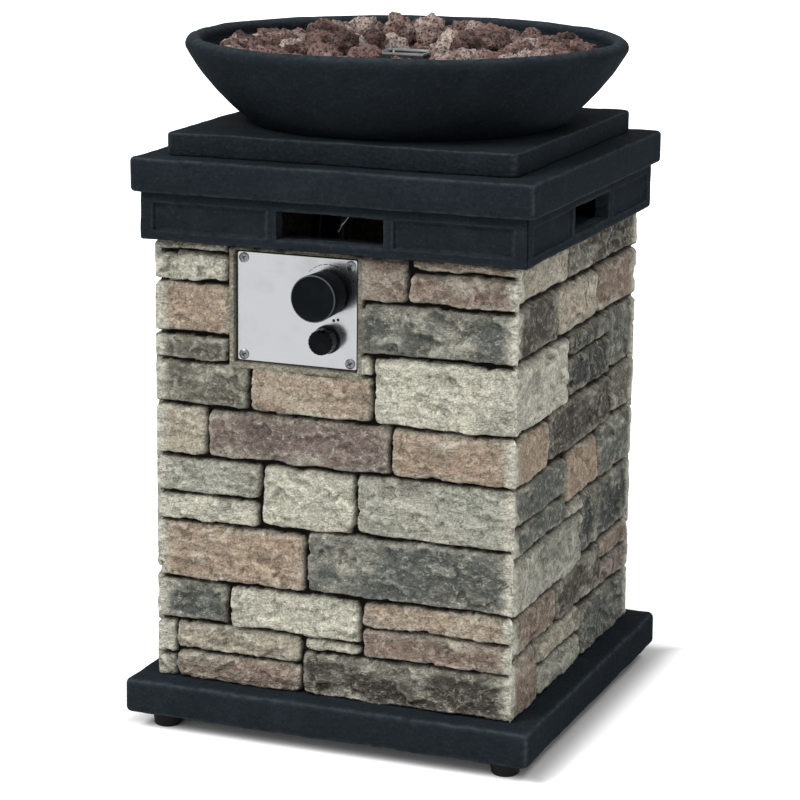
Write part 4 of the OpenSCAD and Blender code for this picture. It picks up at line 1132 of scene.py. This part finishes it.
def solids_of(node):
    """Point arrays and face lists of a CAD node's loose solids."""
    grain = 1e-6
    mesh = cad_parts[node].data
    points = np.array([vertex.co[:] for vertex in mesh.vertices])
    keys, same = np.unique(np.round(points / grain).astype(np.int64), axis=0, return_inverse=True)
    same = same.ravel()
    leader = np.arange(len(keys))

    def root(number):
        while leader[number] != number:
            leader[number] = leader[leader[number]]
            number = leader[number]
        return number

    polygons = [[int(same[corner]) for corner in polygon.vertices] for polygon in mesh.polygons]
    for polygon in polygons:
        for corner in polygon[1:]:
            leader[root(corner)] = root(polygon[0])
    groups = {}
    for polygon in polygons:
        groups.setdefault(root(polygon[0]), []).append(polygon)
    solids = []
    for _leader, members in sorted(groups.items()):
        used = sorted({corner for polygon in members for corner in polygon})
        place = {corner: k for k, corner in enumerate(used)}
        solids.append((keys[used] * grain, [[place[corner] for corner in polygon] for polygon in members]))
    return solids


class FIRECOLUMN_OT_lava_rocks(bpy.types.Operator):
    """Turns each rock of the heap into a rough, porous lump of lava"""

    bl_idname = "firecolumn.lava_rocks"
    bl_label = "Lava rocks"

    def execute(self, context):
        settings = settings_of(context).rock
        dice = np.random.default_rng(7)
        rays, faces, near = self.ball(4)
        self.points, self.faces, self.shades, self.pits = [], [], [], []
        heap_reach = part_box("lava_rocks")[1].x
        gather = 0.045
        middles = []
        for number, (corners, polygons) in enumerate(solids_of("lava_rocks")):
            low, high = corners.min(0), corners.max(0)
            crown = self.crown((low + high) / 2, high[2])
            corners[:, 2] = low[2] + (corners[:, 2] - low[2]) * (crown - low[2]) / (high[2] - low[2])
            middle = Vector((corners.min(0) + corners.max(0)) / 2)
            tree = BVHTree.FromPolygons([Vector(corner) for corner in corners], polygons)
            reach = [self.reach(tree, middle, ray) for ray in rays]
            for _pass in range(2):
                reach = [0.5 * own + 0.5 * sum(reach[k] for k in ring) / len(ring)
                         for own, ring in zip(reach, near)]
            out = middle.xy.length / heap_reach
            middle.xy *= 1 - gather * out**2
            middle.xy += Vector(dice.uniform(-1, 1, 2)) * settings.stray * min(1, 2.2 * out - 0.3)
            stretch = Vector(dice.uniform(0.86, 1.18, 3))
            self.lump(middle, rays, faces, [stretch * own for own in reach], number, settings, dice)
            middles.append(middle.xy)
        self.fill(middles, dice, settings)
        made = piece("lava_heap", self.points, self.faces, "column", "lava_rock", rock_finish(settings),
                     "lava_rocks", sharp=180)
        add_attribute(made, "shade", self.shades)
        add_attribute(made, "pit", self.pits)
        return {"FINISHED"}

    def ball(self, fineness):
        """Directions, faces and each direction's neighbours on a ball."""
        ball = bmesh.new()
        bmesh.ops.create_icosphere(ball, subdivisions=fineness, radius=1)
        rays = [vertex.co.normalized() for vertex in ball.verts]
        faces = [[vertex.index for vertex in face.verts] for face in ball.faces]
        near = [[edge.other_vert(vertex).index for edge in vertex.link_edges] for vertex in ball.verts]
        ball.free()
        return rays, faces, near

    def lump(self, middle, rays, faces, reach, number, settings, dice):
        """Adds one lump with pores: reach gives its three half sizes along each ray."""
        rough = 0.26
        mouth = 0.45
        start = len(self.points)
        seed = Vector((number * 3.7, number * 1.3, 0))
        for ray, own in zip(rays, reach):
            spread = ray * own * (1 + rough * noise.fractal(ray * 1.7 + seed, 0.8, 2.0, 4))
            pore = noise.voronoi(spread / settings.pore + seed)[0][0]
            open_pore = max(0.0, 1 - pore / mouth)
            self.points.append(tuple(middle + spread - ray * settings.pit * open_pore))
            self.pits.append(open_pore)
        self.faces += [[start + corner for corner in face] for face in faces]
        self.shades += [dice.uniform(-0.6, 0.6)] * len(rays)

    def fill(self, middles, dice, settings):
        """Adds smaller stones on the pan, in the gaps between the rocks and clear of the pilot guard."""
        tries = 900
        first_number = 500
        guard_gap, rock_gap, stone_gap, rim_gap = 0.014, 0.0145, 0.017, 0.022
        rays, faces, _near = self.ball(3)
        guard_low, guard_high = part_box("pilot_guard")
        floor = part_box("lava_rocks")[0].z
        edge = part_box("lava_rocks")[1].x - rim_gap
        placed = []
        for spot in dice.uniform(-edge, edge, (tries, 2)):
            spot = Vector(spot)
            clear = max(guard_low.x - spot.x, spot.x - guard_high.x,
                        guard_low.y - spot.y, spot.y - guard_high.y)
            size = dice.uniform(0.009, 0.013)
            near = min((spot - other).length for other in middles)
            beside = min([(spot - other).length for other in placed], default=1)
            if clear < guard_gap or spot.length > edge or near < rock_gap or beside < stone_gap:
                continue
            placed.append(spot)
            reach = Vector(dice.uniform(0.8, 1.2, 3)) * size
            middle = Vector((*spot, floor + size * 0.8))
            self.lump(middle, rays, faces, [reach] * len(rays), first_number + len(placed), settings, dice)

    def crown(self, middle, top):
        """Height of a rock's top: lower before the pilot guard, which shows between the rocks."""
        sight, half_gap, behind = 0.38, 0.042, 0.02
        shown, slope = 0.006, 0.1
        guard_low, guard_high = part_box("pilot_guard")
        ahead = guard_low.y - middle[1]
        aside = abs(middle[0] - sight * ahead - (guard_low.x + guard_high.x) / 2)
        if ahead < -behind or aside > half_gap:
            return top
        return min(top, guard_high.z - shown + slope * max(ahead, 0))

    def reach(self, tree, middle, ray):
        """Distance from a rock's middle to its surface along a ray."""
        outside, unmet = 0.08, 0.012
        hit = tree.ray_cast(middle + ray * outside, -ray)
        return (hit[0] - middle).length if hit[0] is not None else unmet


def cross_head(radius, rise):
    """Vertices and faces of a screw head on the XY plane, facing +Z, with a cross recess."""
    brim = 0.35
    tip = 0.0001 * radius
    profile = [(radius, 0), (radius, rise * brim)]
    for k in range(1, 4):
        profile.append((radius * (1 - k / 4) ** 0.6, rise * (brim + 0.65 * (k / 4) ** 0.6)))
    profile += [(tip, rise), (tip, 0)]
    points, faces = lathe(profile, 32)
    head = bpy.data.meshes.new("screw_head")
    head.from_pydata(points, [], faces)
    cutter = bmesh.new()
    size = Matrix.Diagonal((radius * 1.15, radius * 0.26, rise * 1.2, 1))
    for turn in (30, 120):
        place = Matrix.Translation((0, 0, rise)) @ Matrix.Rotation(math.radians(turn), 4, "Z") @ size
        bmesh.ops.create_cube(cutter, size=1, matrix=place)
    tool_mesh = bpy.data.meshes.new("screw_cutter")
    cutter.to_mesh(tool_mesh)
    cutter.free()
    blank = bpy.data.objects.new("screw_blank", head)
    tool = bpy.data.objects.new("screw_tool", tool_mesh)
    for made in (blank, tool):
        bpy.context.scene.collection.objects.link(made)
    cut = blank.modifiers.new("cross", "BOOLEAN")
    cut.object = tool
    cut.operation = "DIFFERENCE"
    cut.use_self = True
    bpy.context.view_layer.update()
    result = bpy.data.meshes.new_from_object(blank.evaluated_get(bpy.context.evaluated_depsgraph_get()))
    shape = [vertex.co[:] for vertex in result.vertices], [tuple(face.vertices) for face in result.polygons]
    bpy.data.objects.remove(blank)
    bpy.data.objects.remove(tool)
    return shape


def cross_screws(name, node, body, finish, facing):
    """Cross-head screws in place of a CAD node's plain ones; facing is the sign of Y their heads face."""
    rise = 2.0 * MM
    parts = []
    for corners, _faces in solids_of(node):
        low, high = corners.min(0), corners.max(0)
        tip = high[1] if facing > 0 else low[1]
        points, faces = cross_head((high[0] - low[0]) / 2, rise)
        middle = np.array(((low[0] + high[0]) / 2, tip - facing * rise, (low[2] + high[2]) / 2))
        placed = [middle + np.array((x, facing * z, facing * -y)) for x, y, z in points]
        parts.append((placed, faces))
    points, faces = joined(*parts)
    piece(name, points, faces, body, "steel", finish, node, sharp=30)


def front_turning(name, profile, count, middle, body, slot, finish, *stands_for, ripple=None):
    """A piece turned from a profile in millimetres, which faces -Y from a middle."""
    points, faces = lathe(profile, count, ripple)
    placed = np.array([(middle[0] + x, middle[1] - z, middle[2] + y) for x, y, z in points]) * MM
    piece(name, placed.tolist(), faces, body, slot, finish, *stands_for, sharp=35)


class FIRECOLUMN_OT_controls(bpy.types.Operator):
    """Finishes the control plate with its marks and screws, the knob and the igniter"""

    bl_idname = "firecolumn.controls"
    bl_label = "Controls"

    def execute(self, context):
        settings = settings_of(context).metal
        brushed = metal_finish("brushed_plate", settings.plate, 0.15, (0.05, 1, 1), 0.0012, 0.1, 0.00005)
        screw = metal_finish("screw_steel", settings.screw, 0.25)
        dress(brushed, "control_plate")
        cross_screws("plate_screw_heads", "plate_screws", "column", screw, -1)
        dress(screw, "valve_screws", "igniter_nut", "battery_spring")
        self.marks(moulded_finish("printed_ink", settings.ink, 0.6))
        self.knob(moulded_finish("satin_knob", settings.satin, 0.4, 0.0009, 0.00004, 0.004),
                  moulded_finish("knob_edge", settings.edge, 0.3, 0.0009, 0.00004, 0.3))
        self.button(moulded_finish("gloss_button", settings.plastic, 0.15, 0.002, 0.00003, 0.04))
        dress(moulded_finish("black_moulding", settings.plastic, 0.42), "igniter_body")
        dress(moulded_finish("cell_case", settings.steel, 0.35, 0.002), "battery")
        return {"FINISHED"}

    def marks(self, finish):
        """Draws a plain dial arc of dashes and two dots on the plate."""
        low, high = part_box("control_knob")
        axis_x = (low.x + high.x) / 2
        axis_z = (low.z + high.z) / 2
        proud = 0.00006
        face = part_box("control_plate")[0].y - proud
        radius, thick = 0.0272, 0.001
        dashes, first_angle, pitch, sweep = 9, 138, 12.5, 9.5
        points, faces = [], []
        for dash in range(dashes):
            begin = math.radians(first_angle - pitch * dash)
            grow = 0.4 + 0.09 * dash
            ring = []
            for step in range(5):
                angle = begin - math.radians(sweep) * step / 4
                for reach in (radius - thick * grow / 2, radius + thick * grow / 2):
                    ring.append(len(points))
                    points.append((axis_x + reach * math.cos(angle), face, axis_z + reach * math.sin(angle)))
            faces += [(ring[2 * k], ring[2 * k + 2], ring[2 * k + 3], ring[2 * k + 1]) for k in range(4)]
        dot, corners = 0.0015, 16
        for x, z in ((axis_x + 0.006, axis_z - 0.0272), (axis_x + 0.0105, axis_z - 0.0262)):
            faces.append(tuple(range(len(points), len(points) + corners)))
            for k in range(corners):
                angle = -2 * math.pi * k / corners
                points.append((x + dot * math.cos(angle), face, z + dot * math.sin(angle)))
        piece("dial_marks", points, faces, "column", "knob_black", finish)

    def knob(self, finish, highlight_finish):
        """The knob: a slightly tapered body with a rounded edge, a dished face, and a lighter ring on its edge
        that is a painted highlight.
        """
        low, high = box_mm("control_knob")
        middle = ((low.x + high.x) / 2, high.y, (low.z + high.z) / 2)
        radius = (high.x - low.x) / 2
        deep = high.y - low.y
        stem, edge, dish = 4, 1.6, 0.5
        profile = [(stem, 0), (radius - 0.8, 0), (radius - 0.4, deep * 0.5)]
        profile += arc_points(radius - edge, deep - edge, edge, 8, 82, 6)
        profile += [(radius - 2.8, deep - 0.05), (radius - 3.6, deep - dish)]
        profile += [(radius * share, deep - dish - 0.25 * (1 - share**2))
                    for share in (0.8, 0.6, 0.4, 0.2, 0.001)]
        front_turning("knob_turned", profile, 96, middle, "knob", "knob_black", finish, "control_knob")
        # A thin lighter ring round the face's edge: painted highlight
        ring = arc_points(radius - 1.0, deep - 1.0, 0.95, 0, 330, 12)
        front_turning("knob_edge_ring", ring + ring[:1], 96, middle, "knob", "knob_black", highlight_finish)

    def button(self, finish):
        """The igniter button: a ribbed cap with a rounded edge and a slightly dished face, on a stem."""
        low, high = box_mm("igniter_button")
        middle = ((low.x + high.x) / 2, high.y, (low.z + high.z) / 2)
        radius = (high.x - low.x) / 2
        front = 15
        skirt = high.y - low.y - front
        top = skirt + front
        stem = radius * 0.7
        rib_count, rib_depth, edge = 20, 0.035, 3.2

        def ribs(angle, reach, height):
            if reach < radius * 0.8 or height < skirt:
                return 1
            return 1 - rib_depth * (0.5 + 0.5 * math.cos(angle * rib_count)) ** 2

        profile = [(stem, 0), (stem, skirt), (radius, skirt + 0.01)]
        profile += [(radius, skirt + front * share) for share in (0.2, 0.45, 0.7)]
        profile += arc_points(radius - edge, top - edge, edge, 10, 80, 6)
        profile += [(radius * share, top - 0.9 * share**6 - 0.5 * (1 - share**2))
                    for share in (0.6, 0.4, 0.2, 0.001)]
        front_turning("button_ribbed", profile, 160, middle, "button", "button_black", finish,
                      "igniter_button", ripple=ribs)


class FIRECOLUMN_OT_gas_train(bpy.types.Operator):
    """Finishes the valve, pipe, burner, pilot and leads"""

    bl_idname = "firecolumn.gas_train"
    bl_label = "Gas train"

    def execute(self, context):
        settings = settings_of(context).metal
        brass = metal_finish("machined_brass", settings.brass, 0.24, (1, 1, 1), 0.003, 0.16)
        dress(brass, "gas_valve", "inlet_fitting", "feed_nuts", "gas_jet", "push_pin", "valve_stem")
        # The feed pipe inside the vent is near-black: painted shade of the vent's dark inside
        dress(metal_finish("blackened_pipe", settings.rubber, 0.45, (1, 1, 0.1), 0.003, 0.08), "feed_pipe")
        hot = heated_finish("heated_steel", settings.steel, settings.heated)
        dress(hot, "burner_ring", "burner_pan", "mixer_tube", "lock_nut", "thermocouple")
        sheet = metal_finish("bright_sheet", settings.pipe, 0.5, (0.1, 1, 1), 0.002, 0.04, 0.00005)
        dress(sheet, "heat_shield")
        dress(guard_finish(settings.pipe, settings.soot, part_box("pilot_guard")[1].z), "pilot_guard")
        dress(metal_finish("bright_lead", settings.pipe, 0.22, (1, 1, 1), 0.002, 0.05), "thermocouple_lead")
        # The ignition lead is near-black: partly its sleeve's colour, partly painted shade of the vent's dark
        # inside
        dress(moulded_finish("silicone_sleeve", settings.sleeve, 0.5, 0.001), "ignition_lead")
        dress(moulded_finish("glazed_ceramic", settings.ceramic, 0.25, 0.0015, 0.00004, 0.5), "electrode")
        return {"FINISHED"}


class FIRECOLUMN_OT_door_fittings(bpy.types.Operator):
    """Finishes the hinges, screws, pull, catch and feet"""

    bl_idname = "firecolumn.door_fittings"
    bl_label = "Door fittings and feet"

    def execute(self, context):
        settings = settings_of(context).metal
        steel = metal_finish("zinc_steel", settings.steel, 0.34, (1, 1, 0.2), 0.004, 0.12)
        dress(steel, "hinge_leaves", "door_leaves", "hinge_pins", "catch_strike")
        cross_screws("hinge_screw_heads", "hinge_screws", "column", steel, 1)
        cross_screws("door_screw_heads", "door_screws", "door", steel, 1)
        dress(moulded_finish("black_pull", settings.plastic, 0.4, 0.0015, 0.0001), "door_pull")
        dress(moulded_finish("catch_moulding", settings.plastic, 0.5), "catch_magnet")
        dress(moulded_finish("foot_rubber", settings.rubber, 0.75, 0.002, 0.0002), "feet")
        return {"FINISHED"}


def bare_tree(owner):
    """The emptied node tree of a material or a world."""
    owner.use_nodes = True
    owner.node_tree.nodes.clear()
    return NodeTree(owner.node_tree)


def seen_rays(tree):
    """1 for rays that show a backdrop directly, in a mirror or through glass."""
    path = tree.node("ShaderNodeLightPath")
    return path.of("Is Camera Ray").most(path.of("Is Glossy Ray")).most(path.of("Is Transmission Ray"))


class FIRECOLUMN_OT_stage(bpy.types.Operator):
    """Sets the camera, the soft studio light and the pale floor"""

    bl_idname = "firecolumn.stage"
    bl_label = "Stage"

    def execute(self, context):
        settings = settings_of(context).stage
        scene = context.scene
        scene.view_settings.view_transform = "Standard"
        self.camera(scene, settings)
        self.world(scene, settings)
        self.lamp(scene, "key_lamp", settings.key, (-0.62, -0.9, 1.15), 22)
        self.lamp(scene, "soft_lamp", settings.soft, (-0.3, -0.8, 1.0), 85)
        self.lamp(scene, "fill_lamp", settings.fill, (0.7, -0.25, 1.2), 12)
        self.floor(scene, settings)
        return {"FINISHED"}

    def camera(self, scene, settings):
        """Places the camera by its turn, rise, roll and distance."""
        turn, rise, roll = settings.azimuth, settings.elevation, settings.roll
        back = Vector((math.sin(turn) * math.cos(rise), -math.cos(turn) * math.cos(rise), math.sin(rise)))
        right = Vector((math.cos(turn), math.sin(turn), 0))
        up = back.cross(right)
        aim = right * settings.aim_side + Vector((0, 0, settings.aim_height))
        rolled_right = right * math.cos(roll) + up * math.sin(roll)
        rolled_up = up * math.cos(roll) - right * math.sin(roll)
        axes = Matrix((rolled_right, rolled_up, back)).transposed().to_4x4()
        data = bpy.data.cameras.new("camera")
        data.lens = settings.lens
        data.sensor_width = 36
        made = bpy.data.objects.new("camera", data)
        made.matrix_world = Matrix.Translation(aim + back * settings.distance) @ axes
        scene.collection.objects.link(made)
        scene.camera = made

    def world(self, scene, settings):
        """Soft all-round light, with a white backdrop for what looks at it directly."""
        world = bpy.data.worlds.new("studio")
        tree = bare_tree(world)
        soft = tree.node("ShaderNodeBackground", None, (1, 1, 1), settings.ambient)
        white = tree.node("ShaderNodeBackground", None, (1, 1, 1), 1.0)
        mixed = tree.node("ShaderNodeMixShader", None, seen_rays(tree), soft, white)
        tree.node("ShaderNodeOutputWorld", None, mixed)
        scene.world = world

    def lamp(self, scene, name, strength, place, spread):
        """A wide, distant lamp that shines from a place towards the column."""
        data = bpy.data.lights.new(name, "SUN")
        data.energy = strength
        data.angle = math.radians(spread)
        made = bpy.data.objects.new(name, data)
        made.rotation_euler = Vector(place).to_track_quat("Z", "Y").to_euler()
        scene.collection.objects.link(made)

    def floor(self, scene, settings):
        """A pale floor that keeps the column's shadow and glows white, except under and just behind the base,
        where the glow is held back as a painted shadow.
        """
        far = 14
        shadow_back = 0.03
        fade_in, fade_out = 0.005, 0.03
        mesh = bpy.data.meshes.new("floor")
        mesh.from_pydata([(-far, -far, 0), (far, -far, 0), (far, far, 0), (-far, far, 0)], [], [(0, 1, 2, 3)])
        made = bpy.data.objects.new("floor", mesh)
        scene.collection.objects.link(made)
        material = bpy.data.materials.new("pale_floor")
        tree = bare_tree(material)
        matt = tree.node("ShaderNodeBsdfDiffuse", None, settings.floor, 1.0)
        glow = tree.node("ShaderNodeEmission", None, (1, 1, 1), settings.glow)
        lifted = tree.node("ShaderNodeAddShader", None, matt, glow)
        place = tree.node("ShaderNodeSeparateXYZ", None, tree.place())
        # No glow under the base and a little behind it: painted shadow
        out = abs(place.of("X")).most(abs(place.of("Y") - shadow_back))
        base_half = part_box("base_plinth")[1].x
        clear = tree.band(out, base_half - fade_in, base_half + fade_out)
        mixed = tree.node("ShaderNodeMixShader", None, seen_rays(tree) * clear, matt, lifted)
        tree.node("ShaderNodeOutputMaterial", None, mixed)
        mesh.materials.append(material)


OPERATORS = (
    FIRECOLUMN_OT_stage,
    FIRECOLUMN_OT_castings,
    FIRECOLUMN_OT_stone_faces,
    FIRECOLUMN_OT_lava_rocks,
    FIRECOLUMN_OT_controls,
    FIRECOLUMN_OT_gas_train,
    FIRECOLUMN_OT_door_fittings,
)


class FIRECOLUMN_PT_panel(bpy.types.Panel):
    """Lists the steps of the fire column"""

    bl_idname = "FIRECOLUMN_PT_panel"
    bl_label = "Fire column"
    bl_space_type = "VIEW_3D"
    bl_region_type = "UI"
    bl_category = "Fire column"

    def draw(self, context):
        for operator in OPERATORS:
            self.layout.operator(operator.bl_idname)
        settings = settings_of(context)
        for name in ("stone", "cast", "rock", "metal", "stage"):
            box = self.layout.box()
            group = getattr(settings, name)
            for key in group.__annotations__:
                box.prop(group, key)


CLASSES = (
    StoneSettings,
    CastSettings,
    RockSettings,
    MetalSettings,
    StageSettings,
    FireColumnSettings,
    *OPERATORS,
    FIRECOLUMN_PT_panel,
)


def register():
    """Registers the classes and the scene's settings."""
    for made in CLASSES:
        bpy.utils.register_class(made)
    bpy.types.Scene.fire_column = PointerProperty(type=FireColumnSettings)


def unregister():
    """Removes the settings and the classes."""
    del bpy.types.Scene.fire_column
    for made in reversed(CLASSES):
        bpy.utils.unregister_class(made)


def main():
    """Runs every step."""
    register()
    bpy.ops.firecolumn.stage()
    bpy.ops.firecolumn.castings()
    bpy.ops.firecolumn.stone_faces()
    bpy.ops.firecolumn.lava_rocks()
    bpy.ops.firecolumn.controls()
    bpy.ops.firecolumn.gas_train()
    bpy.ops.firecolumn.door_fittings()


if __name__ == "__main__":
    main()
